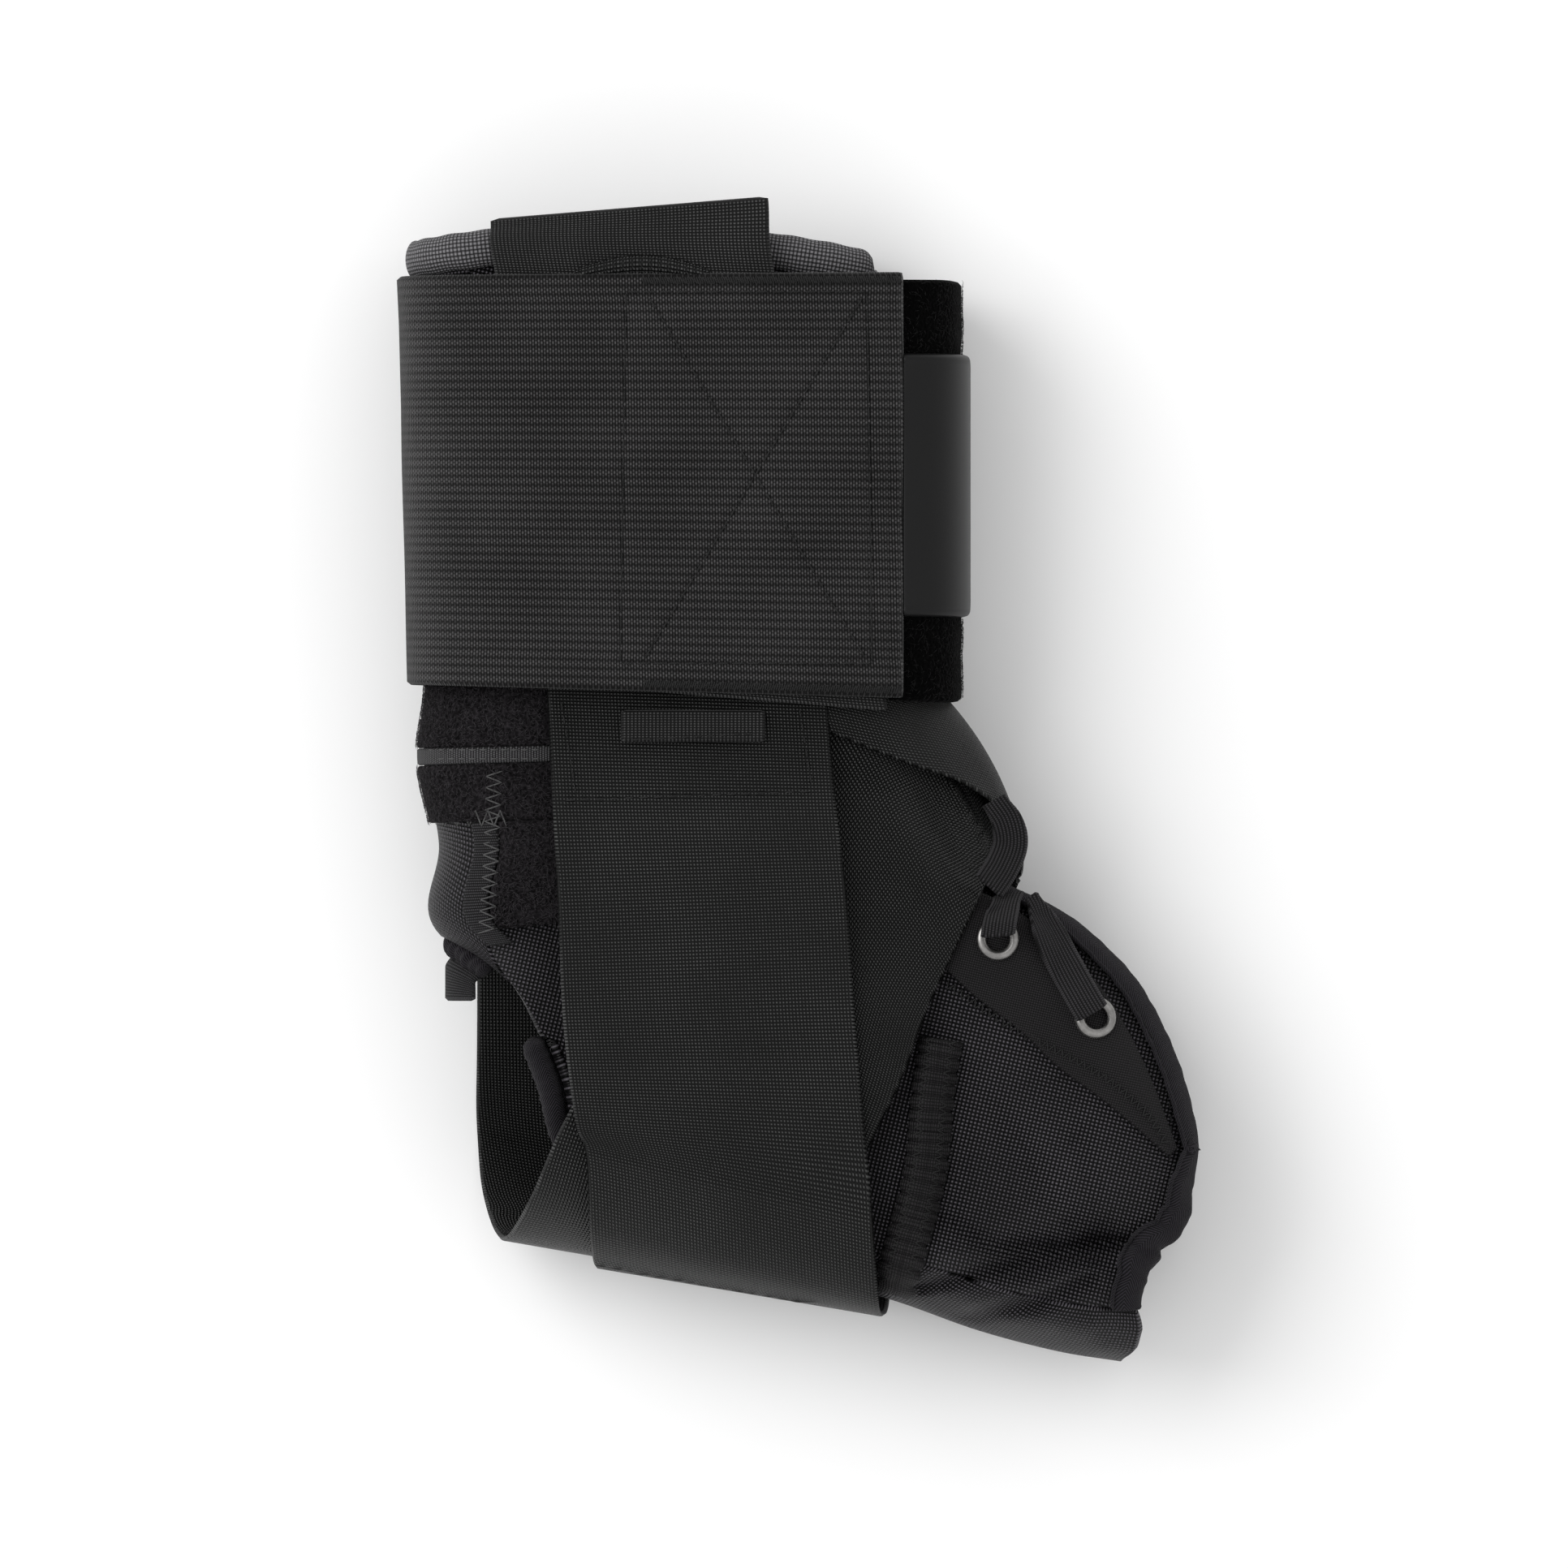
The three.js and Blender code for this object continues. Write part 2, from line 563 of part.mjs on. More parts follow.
const FAR_RIBS = [...steps(0, 5, 5), ...steps(5.5, 12, 13), ...steps(13, LAST_RIB, LAST_RIB - 13)];
const nearPlaces = quarterPlaces(1, steps(0, LAST_RIB, 2 * LAST_RIB), 7, 3);
const farPlaces = quarterPlaces(-1, FAR_RIBS, 6, 3);
const backPlaces = foldPlaces([...steps(0, 6.5, 13), BACK_HEM_SEAM], 6, hemSlant);
const soleRibs = steps(SOLE_PANEL_START, LAST_RIB, 2 * (LAST_RIB - SOLE_PANEL_START));
const solePlaces = foldPlaces(soleRibs, 6, () => 0);
const nearGrid = toGrid(nearPlaces);
const farGrid = toGrid(farPlaces);
const nearQuarter = panel(nearPlaces);
const farQuarter = panel(farPlaces);

// Facings carry the eyelets
function facingPlaces(side, along, across) {
  return steps(FACING_START, FACING_END, along).map((rib) => {
    const length = chordLength(rib);
    const end = 1 - (edgeInset(rib) + BINDING_WIDTH + 2 * CLEAR) / length;
    const start = end - Math.max(rowAt(RIBS, rib).facing * WIDTH - BINDING_WIDTH, 1) / length;
    return steps(start, end, across).map((share) => [rib, side * share]);
  });
}
function facing(places) {
  const grid = places.map((row) => row.map(([rib, around]) => liftedPoint(rib, around, CLEAR)));
  return { grid, geometry: wall(grid, 0, FACING, toNormals(places)) };
}
const nearFacing = facing(facingPlaces(1, 18, 4));
const farFacing = facing(facingPlaces(-1, 12, 4));

// Holes for the eyelet barrels are cut through the quarter and its facing
function toSolid(geometry) {
  const bare = geometry.clone();
  bare.deleteAttribute("normal");
  bare.deleteAttribute("uv");
  const merged = mergeVertices(bare);
  const vertProperties = Float32Array.from(merged.getAttribute("position").array);
  const triVerts = Uint32Array.from(merged.getIndex().array);
  return new wasm.Manifold(new wasm.Mesh({ numProp: 3, vertProperties, triVerts }));
}

function fromSolid(solid) {
  const mesh = solid.getMesh();
  const geometry = new THREE.BufferGeometry();
  geometry.setAttribute("position", new THREE.Float32BufferAttribute(mesh.vertProperties, 3));
  geometry.setIndex(Array.from(mesh.triVerts));
  return geometry;
}

const eyeletPlaces = [];
for (const side of [1, -1]) {
  EYELETS.forEach((row, i) => {
    const x = row.x * WIDTH;
    const y = row.y * HEIGHT;
    const { grid } = side > 0 ? nearFacing : farFacing;
    const middle = heightOn(grid, x, y);
    const eastward = heightOn(grid, x + 2, y) - heightOn(grid, x - 2, y);
    const northward = heightOn(grid, x, y + 2) - heightOn(grid, x, y - 2);
    const normal = new THREE.Vector3(-eastward / 4, -northward / 4, 1).normalize().multiplyScalar(side);
    const centre = new THREE.Vector3(x, y, middle).addScaledVector(normal, FACING);
    eyeletPlaces.push({ name: (side > 0 ? "near" : "far") + "_eyelet_" + (i + 1), centre, normal, side });
  });
}

function aimAlong(geometry, place) {
  const turn = new THREE.Quaternion().setFromUnitVectors(new THREE.Vector3(0, 1, 0), place.normal);
  geometry.applyQuaternion(turn);
  geometry.translate(place.centre.x, place.centre.y, place.centre.z);
  return geometry;
}

function pierce(geometry, side) {
  let solid = toSolid(geometry);
  for (const place of eyeletPlaces.filter((entry) => entry.side === side)) {
    const radius = EYELET_HOLE / 2 + EYELET_WALL + CLEAR;
    const drill = aimAlong(new THREE.CylinderGeometry(radius, radius, 5 * FABRIC, 10), place);
    solid = solid.subtract(toSolid(drill));
  }
  return fromSolid(solid);
}

add("near_quarter", pierce(nearQuarter, 1), "mesh");
add("far_quarter", pierce(farQuarter, -1), "mesh");
add("near_eyestay", pierce(nearFacing.geometry, 1), "mesh");
add("far_eyestay", pierce(farFacing.geometry, -1), "mesh");
add("back_panel", panel(backPlaces), "mesh");
add("sole_panel", panel(solePlaces), "mesh");

// Eyelets: a barrel with a rolled lip outside and a washer inside
const grip = FACING + CLEAR + FABRIC;
for (const place of eyeletPlaces) {
  const hole = EYELET_HOLE / 2;
  const barrel = hole + EYELET_WALL;
  const lip = EYELET_OUTER / 2;
  const washer = mix(barrel, lip, 0.45);
  const top = CLEAR;
  const bottom = -grip - EYELET_RELIEF;
  const profile = [
    [hole, bottom],
    [washer, bottom],
    [washer, bottom + EYELET_WALL],
    [barrel, bottom + EYELET_WALL],
    [barrel, top],
    [lip, top],
    [mix(barrel, lip, 0.7), top + EYELET_LIP],
    [mix(hole, lip, 0.2), top + EYELET_LIP],
    [hole, top + EYELET_WALL],
    [hole, bottom],
  ].map(([x, y]) => new THREE.Vector2(x, y));
  add(place.name, aimAlong(new THREE.LatheGeometry(profile, 11), place), "nickel", 0.3, 1);
}

// Folded binding round the front edge and the toe: a channel of tape over the panel's edge
function edgeBinding(places, side) {
  const grid = toGrid(places);
  const normals = toNormals(places);
  const lastRow = grid.length - 1;
  const first = places.findIndex(([[rib]]) => rib >= BINDING_START);
  const route = [];
  for (let i = first; i <= lastRow; i += 1) route.push([i, grid[i].length - 1]);
  for (let j = grid[lastRow].length - 2; j >= 0; j -= 1) route.push([lastRow, j]);
  const points = route.map(([i, j]) => grid[i][j]);
  const edge = route.map(([i, j], k) => {
    const normal = normals[i][j];
    const tangent = points[Math.min(k + 1, points.length - 1)].clone().sub(points[Math.max(k - 1, 0)]);
    const probe = points[k].clone().addScaledVector(tangent.cross(normal).normalize(), side * BINDING_WIDTH);
    probe.z = heightOn(grid, probe.x, probe.y, side) ?? probe.z;
    const inward = probe.sub(points[k]).normalize();
    normal.addScaledVector(inward, -normal.dot(inward)).normalize();
    return { point: points[k], inward, normal };
  });
  const outside = CLEAR + BINDING;
  const section = [
    [BINDING_WIDTH, 2 * CLEAR],
    [BINDING_WIDTH, outside + CLEAR],
    [0, outside + CLEAR / 2],
    [-outside, CLEAR],
    [-outside, -FABRIC - CLEAR],
    [0, -FABRIC - outside],
    [BINDING_WIDTH, -FABRIC - outside - CLEAR],
    [BINDING_WIDTH, -FABRIC - 2 * CLEAR],
    [-CLEAR, -FABRIC - 2 * CLEAR],
    [-CLEAR, CLEAR],
  ];
  const rings = edge.map(({ point, inward, normal }) => section.map(([reach, rise]) =>
    point.clone().addScaledVector(inward, reach).addScaledVector(normal, rise)));
  return { grid: rings.map((ring) => ring.slice(1, 4)), geometry: sweep(rings) };
}
const nearBinding = edgeBinding(nearPlaces, 1);
const farBinding = edgeBinding(farPlaces, -1);
add("near_edge_binding", nearBinding.geometry, "binding");
add("far_edge_binding", farBinding.geometry, "binding");

// A round or flattened tube along a curve
function tube(points, radiusAcross, radiusUp, count, sides) {
  const section = new THREE.Shape(steps(0, 1, sides).slice(0, -1).map((s) => {
    const angle = s * 2 * Math.PI;
    return new THREE.Vector2(radiusAcross * Math.cos(angle), radiusUp * Math.sin(angle));
  }));
  const curve = new THREE.CatmullRomCurve3(points);
  return new THREE.ExtrudeGeometry(section, { extrudePath: curve, steps: count, curveSegments: 1 });
}

// Rolled piping along both sides of the heel opening, just outside the quarters' edges
for (const [name, side] of [["near_heel_piping", 1], ["far_heel_piping", -1]]) {
  const points = steps(HEEL_START, HEEL_END, 9).map((rib) => {
    const start = SEAM_SHARE * clamp(rowAt(RIBS, rib).seam, OPEN_SEAM, 1);
    const edge = bodyPoint(rib, side * start);
    const inner = bodyPoint(rib, side * (start + 0.03));
    const away = edge.clone().sub(inner).normalize().multiplyScalar(PIPING_RADIUS + CLEAR);
    away.z -= side * FABRIC / 2;
    return edge.add(away);
  });
  add(name, tube(points, PIPING_RADIUS, PIPING_RADIUS, 12, 7), "binding");
}

// Gathered binding along the back panel's slanting hem, over the heel opening
const heelReach = PIPING_RADIUS + 2 * CLEAR;
const hemPlace = (share) => foldPlace(BACK_HEM_SEAM - hemSlant(BACK_HEM_SEAM, share), share);
function hemPoint(share) {
  const [rib, around] = hemPlace(share);
  const edge = bodyPoint(rib, around);
  const normal = bodyNormal(rib, around);
  const tangent = bodyPoint(...hemPlace(share + 0.05)).sub(bodyPoint(...hemPlace(share - 0.05)));
  const down = normal.clone().cross(tangent).normalize();
  return edge.addScaledVector(down, -heelReach).addScaledVector(normal, -FABRIC / 2);
}
add("heel_binding", tube(steps(-0.8, 0.8, 8).map(hemPoint), PIPING_RADIUS, PIPING_RADIUS, 12, 7), "binding");

// Bound rim round the leg opening, on top of the panels' upper edges
const rimLift = RIM_THICKNESS / 2 + CLEAR;
const rimPlaces = [...steps(-0.99, -0.3, 8), ...steps(-0.24, 0.24, 8), ...steps(0.3, 0.99, 8)];
const rimPoints = rimPlaces.map((around) => {
  const edge = bodyPoint(0, around);
  const below = bodyPoint(0.15, around);
  const up = edge.clone().sub(below).setZ(0).normalize();
  const inwards = new THREE.Vector3(0, 0, DEPTH / 2 - edge.z).normalize().multiplyScalar(FABRIC / 2);
  const lifted = edge.add(up.multiplyScalar(rimLift));
  return Math.abs(around) > FOLD_SHARE ? lifted.add(inwards) : lifted;
});
add("top_rim", tube(rimPoints, RIM_THICKNESS / 2, RIM_THICKNESS / 2, 28, 6), "binding");

// Trim over the back seam: bands that wrap from the near side round the back to the far side
function backTrim(fromRib, toRib, fromAround, toAround, along, across) {
  return steps(fromRib, toRib, along).map((rib) =>
    steps(fromAround, toAround, across).map((around) => liftedPoint(rib, around, CLEAR)));
}
const trimWall = (grid) => wall(grid, 0, TRIM);
add("pile_band_upper", trimWall(backTrim(3.1, 3.86, -0.24, 0.33, 2, 10)), "pile");
add("grosgrain_edge", trimWall(backTrim(3.9, 4.06, -0.24, 0.33, 1, 10)), "grey");
add("pile_band_lower", trimWall(backTrim(4.1, 4.72, -0.24, 0.34, 2, 10)), "pile");
add("pile_strip", trimWall(backTrim(4.76, 6.1, 0.215, 0.34, 4, 2)), "pile");
add("grosgrain_strip", trimWall(backTrim(4.76, 6.3, 0.165, 0.208, 4, 1)), "binding");

// Straps
function strapPlaces(rows) {
  const places = [0];
  rows.slice(1).forEach((row, i) => {
    const turning = Math.abs(row.left - rows[i].left) + Math.abs(row.right - rows[i].right) > 0.05;
    const count = turning ? 3 : 1;
    places.push(...steps(i, i + 1, count).slice(1));
  });
  return places;
}

function strapGrid(rows, low, high, across) {
  return strapPlaces(rows).map((place) => {
    const row = rowAt(rows, place);
    const angle = THREE.MathUtils.degToRad(row.turn);
    const direction = new THREE.Vector3(Math.cos(angle), Math.sin(angle), 0);
    const outward = new THREE.Vector3(-Math.sin(angle), Math.cos(angle), 0);
    return steps(-0.5, 0.5, across).map((share) => {
      const point = new THREE.Vector3(row.x * WIDTH, row.y * HEIGHT, 0);
      point.addScaledVector(direction, share * row.span * WEBBING_WIDTH);
      point.addScaledVector(outward, row.bow * WEBBING_WIDTH * (1 - 4 * share * share));
      point.z = mix(low, high, clamp(mix(row.left, row.right, share + 0.5), 0, 1));
      return point;
    });
  });
}

// How much further out a layer at this point has to lie to clear the layers under it
function shortfall(point, supports) {
  const side = Math.sign(point.z - DEPTH / 2);
  let missing = 0;
  if (Math.abs(point.z - DEPTH / 2) < DEPTH * RESTING_SHARE) return missing;
  for (const [support, gap] of supports) {
    const height = heightOn(support, point.x, point.y, side);
    if (height === null || (height - DEPTH / 2) * side < 0) continue;
    missing = Math.max(missing, (height - point.z) * side + gap);
  }
  return missing;
}

// Moves a strap or lace outwards, near and far, until its points and the middles of its
// facets clear every layer under it
function restOn(grid, supports) {
  const push = (point, amount) => {
    point.z = clamp(point.z + Math.sign(point.z - DEPTH / 2) * amount, OUTER_LOW, OUTER_HIGH);
  };
  for (const point of grid.flat()) push(point, shortfall(point, supports));
  for (let pass = 0; pass < RESTING_PASSES; pass += 1) {
    for (let i = 0; i < grid.length - 1; i += 1) {
      for (let j = 0; j < grid[0].length - 1; j += 1) {
        const corners = [grid[i][j], grid[i][j + 1], grid[i + 1][j], grid[i + 1][j + 1]];
        const samples = steps(0, 1, 3).flatMap((s) => steps(0, 1, 3).map((t) => {
          const upper = corners[0].clone().lerp(corners[1], t);
          return upper.lerp(corners[2].clone().lerp(corners[3], t), s);
        }));
        const missing = Math.max(...samples.map((point) => shortfall(point, supports)));
        if (missing > 0) corners.forEach((point) => push(point, missing));
      }
    }
  }
  return grid;
}
const webbingSeat = WEBBING / 2 + SEAT_PLAY * CLEAR;
const bodyLayers = [
  [nearGrid, webbingSeat],
  [farGrid, webbingSeat],
  [nearFacing.grid, SLOPED * FACING + CLEAR + webbingSeat],
  [farFacing.grid, SLOPED * FACING + EYELET_LIP + CLEAR + webbingSeat],
  [nearBinding.grid, 2 * CLEAR + webbingSeat],
  [farBinding.grid, 2 * CLEAR + webbingSeat],
];
const crossGrid = restOn(strapGrid(CROSS_STRAP, INNER_LOW, INNER_HIGH, 4), bodyLayers);
const crossLayer = [crossGrid, SLOPED * WEBBING + CLEAR];
const sideGrid = restOn(strapGrid(SIDE_STRAP, OUTER_LOW, OUTER_HIGH, 4), [...bodyLayers, crossLayer]);
add("cross_strap", wall(crossGrid, -WEBBING / 2, WEBBING / 2), "webbing");
add("side_strap", wall(sideGrid, -WEBBING / 2, WEBBING / 2), "webbing");

// Gathered channel: a ruffled half-round ridge on the near quarter
const channelCurve = new THREE.CatmullRomCurve3(
  CHANNEL.map((row) => new THREE.Vector3(row.x * WIDTH, row.y * HEIGHT, 0)));
const channelLength = channelCurve.getLength();
const channelGrid = steps(0, 1, 32).map((s) => {
  const centre = channelCurve.getPointAt(s);
  const tangent = channelCurve.getTangentAt(s);
  const across = new THREE.Vector3(-tangent.y, tangent.x, 0);
  const ruffle = Math.cos((s * channelLength / RUFFLE_PITCH) * 2 * Math.PI) * RUFFLE_DEPTH / 2;
  return steps(-0.5, 0.5, 2).map((share) => {
    const point = centre.clone().addScaledVector(across, share * CHANNEL_WIDTH + ruffle * Math.sign(share));
    const support = heightOn(nearGrid, point.x, point.y) ?? BODY_HIGH;
    const facingHeight = heightOn(nearFacing.grid, point.x, point.y);
    const base = Math.max(support, facingHeight === null ? 0 : facingHeight + FACING);
    const swell = CHANNEL_HEIGHT * (1 - 4 * share * share);
    point.z = base + 1.5 * CLEAR + swell + ruffle * (share === 0 ? 1 : 0.4);
    return point;
  });
});
add("gather_channel", wall(channelGrid, 0, TRIM), "mesh");

// Cuff: a flattened ring of elastic, closed at the front by the pile panel
const cuffLeft = CUFF.left * WIDTH;
const cuffRight = CUFF.right * WIDTH;
const cuffMiddle = (cuffLeft + cuffRight) / 2;
function cuffSection(x, inset) {
  const share = Math.abs(x - cuffMiddle) / ((cuffRight - cuffLeft) / 2 - inset);
  const past = clamp((share - CUFF_FLAT) / (1 - CUFF_FLAT), 0, 1);
  return (DEPTH / 2 - inset) * (1 - past ** CUFF_POWER) ** (1 / CUFF_POWER);
}

function cuffRing(inset, from, to, count) {
  const halfWidth = (cuffRight - cuffLeft) / 2 - inset;
  const power = 2 / CUFF_POWER;
  const point = (angle) => {
    const x = cuffMiddle + halfWidth * Math.sign(Math.cos(angle)) * Math.abs(Math.cos(angle)) ** power;
    return new THREE.Vector2(x, DEPTH / 2 + Math.sign(Math.sin(angle)) * cuffSection(x, inset));
  };
  const dense = steps(from, to, 400).map(point);
  const lengths = [0];
  dense.forEach((p, i) => {
    if (i > 0) lengths.push(lengths[i - 1] + p.distanceTo(dense[i - 1]));
  });
  return steps(0, lengths[400], count).map((length) => {
    const i = clamp(lengths.findIndex((value) => value >= length - 1e-9), 1, 400);
    const s = (length - lengths[i - 1]) / (lengths[i] - lengths[i - 1]);
    return dense[i - 1].clone().lerp(dense[i], s);
  });
}

// Angle on the ring where it stands at x, on the near (1) or far (-1) side
function ringAngle(x, inset, side) {
  const halfWidth = (cuffRight - cuffLeft) / 2 - inset;
  const share = (x - cuffMiddle) / halfWidth;
  const cosine = Math.sign(share) * Math.abs(share) ** (CUFF_POWER / 2);
  return side * Math.acos(clamp(cosine, -1, 1));
}

function cuffGrid(ring, topShare, bottomShare, rows) {
  return steps(0, 1, rows).map((s) => ring.map((point) => {
    const across = (point.x - cuffLeft) / (cuffRight - cuffLeft);
    const top = mix(CUFF.topLeft, CUFF.topRight, across) * HEIGHT * topShare;
    const bottom = mix(CUFF.bottomLeft, CUFF.bottomRight, across) * HEIGHT * bottomShare;
    return new THREE.Vector3(point.x, mix(top, bottom, s), point.y);
  }));
}
const elasticFrom = ringAngle(ELASTIC_NEAR_END * WIDTH, ELASTIC / 2, 1);
const elasticTo = 2 * Math.PI + ringAngle(ELASTIC_FAR_END * WIDTH, ELASTIC / 2, -1);
const elasticRing = cuffRing(ELASTIC / 2, elasticFrom, elasticTo, 32);
const elasticGrid = cuffGrid(elasticRing, 1, 1, 2);
add("cuff_elastic", wall(elasticGrid, -ELASTIC / 2, ELASTIC / 2), "elastic");

const pileInset = ELASTIC + CLEAR + PILE / 2;
const pileFrom = ringAngle(PILE_NEAR_START * WIDTH, pileInset, 1);
const pileTo = ringAngle(PILE_FAR_END * WIDTH, pileInset, -1);
const pileRing = cuffRing(pileInset, pileFrom, pileTo, 18);
const pileGrid = cuffGrid(pileRing, PILE_TOP, PILE_BOTTOM, 2);
add("cuff_pile_panel", wall(pileGrid, -PILE / 2, PILE / 2), "pile");

// Rubber label on the pile panel, square on the left and rounded on the right
const labelInset = pileInset - PILE / 2 - CLEAR - LABEL_THICKNESS / 2;
const labelFrom = ringAngle(LABEL.left * WIDTH, labelInset, 1);
const labelRing = cuffRing(labelInset, labelFrom, ringAngle(LABEL.right * WIDTH, labelInset, 1), 6);
const labelGrid = steps(-1, 1, 5).map((s) => labelRing.map((point, i) => {
  const along = i / (labelRing.length - 1);
  const half = LABEL_HEIGHT / 2;
  const cut = Math.max(0, along * 2 - 1) ** 2 * LABEL_CORNER;
  return new THREE.Vector3(point.x, LABEL.middleY * HEIGHT + s * (half - cut), point.y);
}));
add("label_patch", wall(labelGrid, -LABEL_THICKNESS / 2, LABEL_THICKNESS / 2), "rubber", 0.6);

// Hook strap under the cuff, above the side strap
const hookInset = ELASTIC + CLEAR + WEBBING / 2;
const hookGrid = steps(0, HOOK_STRAP.length - 1, 10).map((place) => {
  const row = rowAt(HOOK_STRAP, place);
  return steps(0, 1, 4).map((s) => {
    const x = mix(row.leftX, row.rightX, s) * WIDTH;
    const z = DEPTH / 2 + cuffSection(x, hookInset) - row.drop;
    return new THREE.Vector3(x, mix(row.leftY, row.rightY, s) * HEIGHT, z);
  });
});
add("hook_strap", wall(hookGrid, -WEBBING / 2, WEBBING / 2), "webbing");

// Folded webbing end on the hook strap, just above the cuff
const loopGrid = steps(0, 1, 6).map((along) => {
  const x = mix(LOOP_END.left, LOOP_END.right, along) * WIDTH;
  const swell = Math.sin(along * Math.PI);
  const top = (CUFF.topLeft + LOOP_END.rise * (0.5 + swell)) * HEIGHT;
  const bottom = (CUFF.topLeft + LOOP_END.gap) * HEIGHT;
  return steps(0, 1, 2).map((s) => new THREE.Vector3(
    x, mix(top, bottom, s), DEPTH - ELASTIC + LOOP_HEIGHT * Math.sin(s * Math.PI)));
});
add("strap_loop", wall(loopGrid, -WEBBING / 2, WEBBING / 2), "webbing");

// Second layer of webbing stitched to the side strap below the hook strap
const patchGrid = steps(PATCH.top, PATCH.bottom, 3).map((y) =>
  steps(PATCH.left, PATCH.right, 4).map((x) => new THREE.Vector3(x * WIDTH, y * HEIGHT, DEPTH * 0.9)));
const patchLayers = [[sideGrid, 1.5 * (WEBBING + CLEAR)]];
add("stitched_patch", wall(restOn(patchGrid, patchLayers), -WEBBING / 2, WEBBING / 2), "webbing");

// Pull tab that hangs off the gathered heel binding
const pullGrid = steps(0, 1, 3).map((s) => steps(PULL_TAB.from, PULL_TAB.to, 3).map((share) => {
  const top = hemPoint(share);
  top.y -= heelReach + CLEAR;
  return new THREE.Vector3(top.x, mix(top.y, PULL_TAB.bottom * HEIGHT, s), top.z + PULL_TAB.rise * s);
}));
add("pull_tab", wall(pullGrid, -WEBBING / 2, WEBBING / 2), "binding");

// Laces: flat woven runs at the instep
const laceLayers = bodyLayers.map(([grid, gap]) => [grid, gap - WEBBING / 2 + LACE / 2 + LACE_PLAY * CLEAR]);
for (const [name, rows] of Object.entries(LACES)) {
  const rings = steps(0, rows.length - 1, 10).map((place) => {
    const row = rowAt(rows, place);
    const angle = THREE.MathUtils.degToRad(row.turn);
    const across = new THREE.Vector3(Math.cos(angle), Math.sin(angle), 0);
    const middle = new THREE.Vector3(row.x * WIDTH, row.y * HEIGHT, row.z * DEPTH);
    return steps(-0.5, 0.5, 2).map((share) => middle.clone().addScaledVector(across, share * LACE_WIDTH));
  });
  add(name, wall(restOn(rings, laceLayers), -LACE / 2, LACE / 2), "webbing");
}

// The origin is the middle of the whole brace, on the surface that it lies on
const box = new THREE.Box3().setFromObject(brace);
for (const mesh of brace.children) {
  mesh.geometry.translate(-(box.min.x + box.max.x) / 2, -(box.min.y + box.max.y) / 2, -box.min.z);
}

export default brace;
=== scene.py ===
# Visual model of the ankle brace: cloth, straps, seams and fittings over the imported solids.
# Lengths are millimetres until a mesh is made, and the tables are those of the solids.

import math

import bpy
import numpy as np
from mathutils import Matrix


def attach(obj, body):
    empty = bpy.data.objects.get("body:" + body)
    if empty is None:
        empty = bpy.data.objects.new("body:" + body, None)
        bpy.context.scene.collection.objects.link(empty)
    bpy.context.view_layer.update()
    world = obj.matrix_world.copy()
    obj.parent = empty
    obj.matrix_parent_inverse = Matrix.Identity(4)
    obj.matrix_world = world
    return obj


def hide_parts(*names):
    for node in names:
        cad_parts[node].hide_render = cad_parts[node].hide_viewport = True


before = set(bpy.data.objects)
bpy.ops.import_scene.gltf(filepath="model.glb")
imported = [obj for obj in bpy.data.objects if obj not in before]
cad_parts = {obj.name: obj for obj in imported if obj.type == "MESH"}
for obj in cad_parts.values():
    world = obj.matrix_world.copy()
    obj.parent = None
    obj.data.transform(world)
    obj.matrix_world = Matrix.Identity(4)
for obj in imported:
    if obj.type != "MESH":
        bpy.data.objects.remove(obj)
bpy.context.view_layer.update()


def table(columns, rows):
    return {name: np.array(values, float) for name, values in zip(columns, zip(*rows))}


# Driving dimensions
WIDTH = 148.5              # heel side to toe
HEIGHT = 215               # sole to top rim
DEPTH = 46                 # thickness of the brace as it lies
FABRIC = 2.0               # padded mesh wall
FACING = 0.9               # eyelet facing cloth
CLEAR = 0.4                # gap between layers
WEBBING_WIDTH = 51
WEBBING = 1.0
ELASTIC = 1.5
PILE = 1.3
TRIM = 0.8                 # grosgrain and pile bands on the back
BINDING_WIDTH = 4.6
BINDING = 0.8
PIPING_RADIUS = 2.2
RIM_THICKNESS = 3.4
RIM_REACH = 3.5            # half height of the padded rim along the leg
LACE_WIDTH = 5.6
LACE = 0.9
EYELET_OUTER = 7.9
EYELET_HOLE = 4.2
EYELET_WALL = 0.45
EYELET_LIP = 0.75
EYELET_RELIEF = 2.1        # room for the washer inside the curved wall
CHANNEL_WIDTH = 6.4
CHANNEL_HEIGHT = 1.4
RUFFLE_DEPTH = 0.7
FOLD_ROUND = 16            # reach of the rounded fold at the back and the sole
FRONT_ROUND = 15           # reach of the droop along the front edge
LABEL_HEIGHT = 48
LABEL_THICKNESS = 1.2
LABEL_CORNER = 4.5
LOOP_HEIGHT = 0.8          # how far the folded webbing end swells

# Heights of the layers, stacked from the surface up to DEPTH
LAYER = WEBBING + CLEAR
OUTER_LOW = WEBBING / 2
OUTER_HIGH = DEPTH - WEBBING / 2
INNER_LOW = OUTER_LOW + LAYER
INNER_HIGH = OUTER_HIGH - LAYER
BODY_LOW = INNER_LOW + WEBBING / 2 + FACING + 2.5 * CLEAR
BODY_HIGH = INNER_HIGH - WEBBING / 2 - FACING - 5.5 * CLEAR
BODY_SPAN = BODY_HIGH - BODY_LOW

# Where the rounded back fold ends, as a share of the way from back to front
FOLD_SHARE = 0.25
FOLD_POWER = 2.2
SEAM_SHARE = 0.2
OPEN_SEAM = 0.03           # share of SEAM_SHARE left at the open heel
CLOSING_SEAM = 0.1         # and where the back and sole panels end
SEAM_GAP = 0.008           # gap between sewn panels, in the same share
RESTING_SHARE = 0.06       # share of DEPTH round the middle where a band isn't pushed out
MOST_PUSH = 12             # and the most that it moves outwards elsewhere

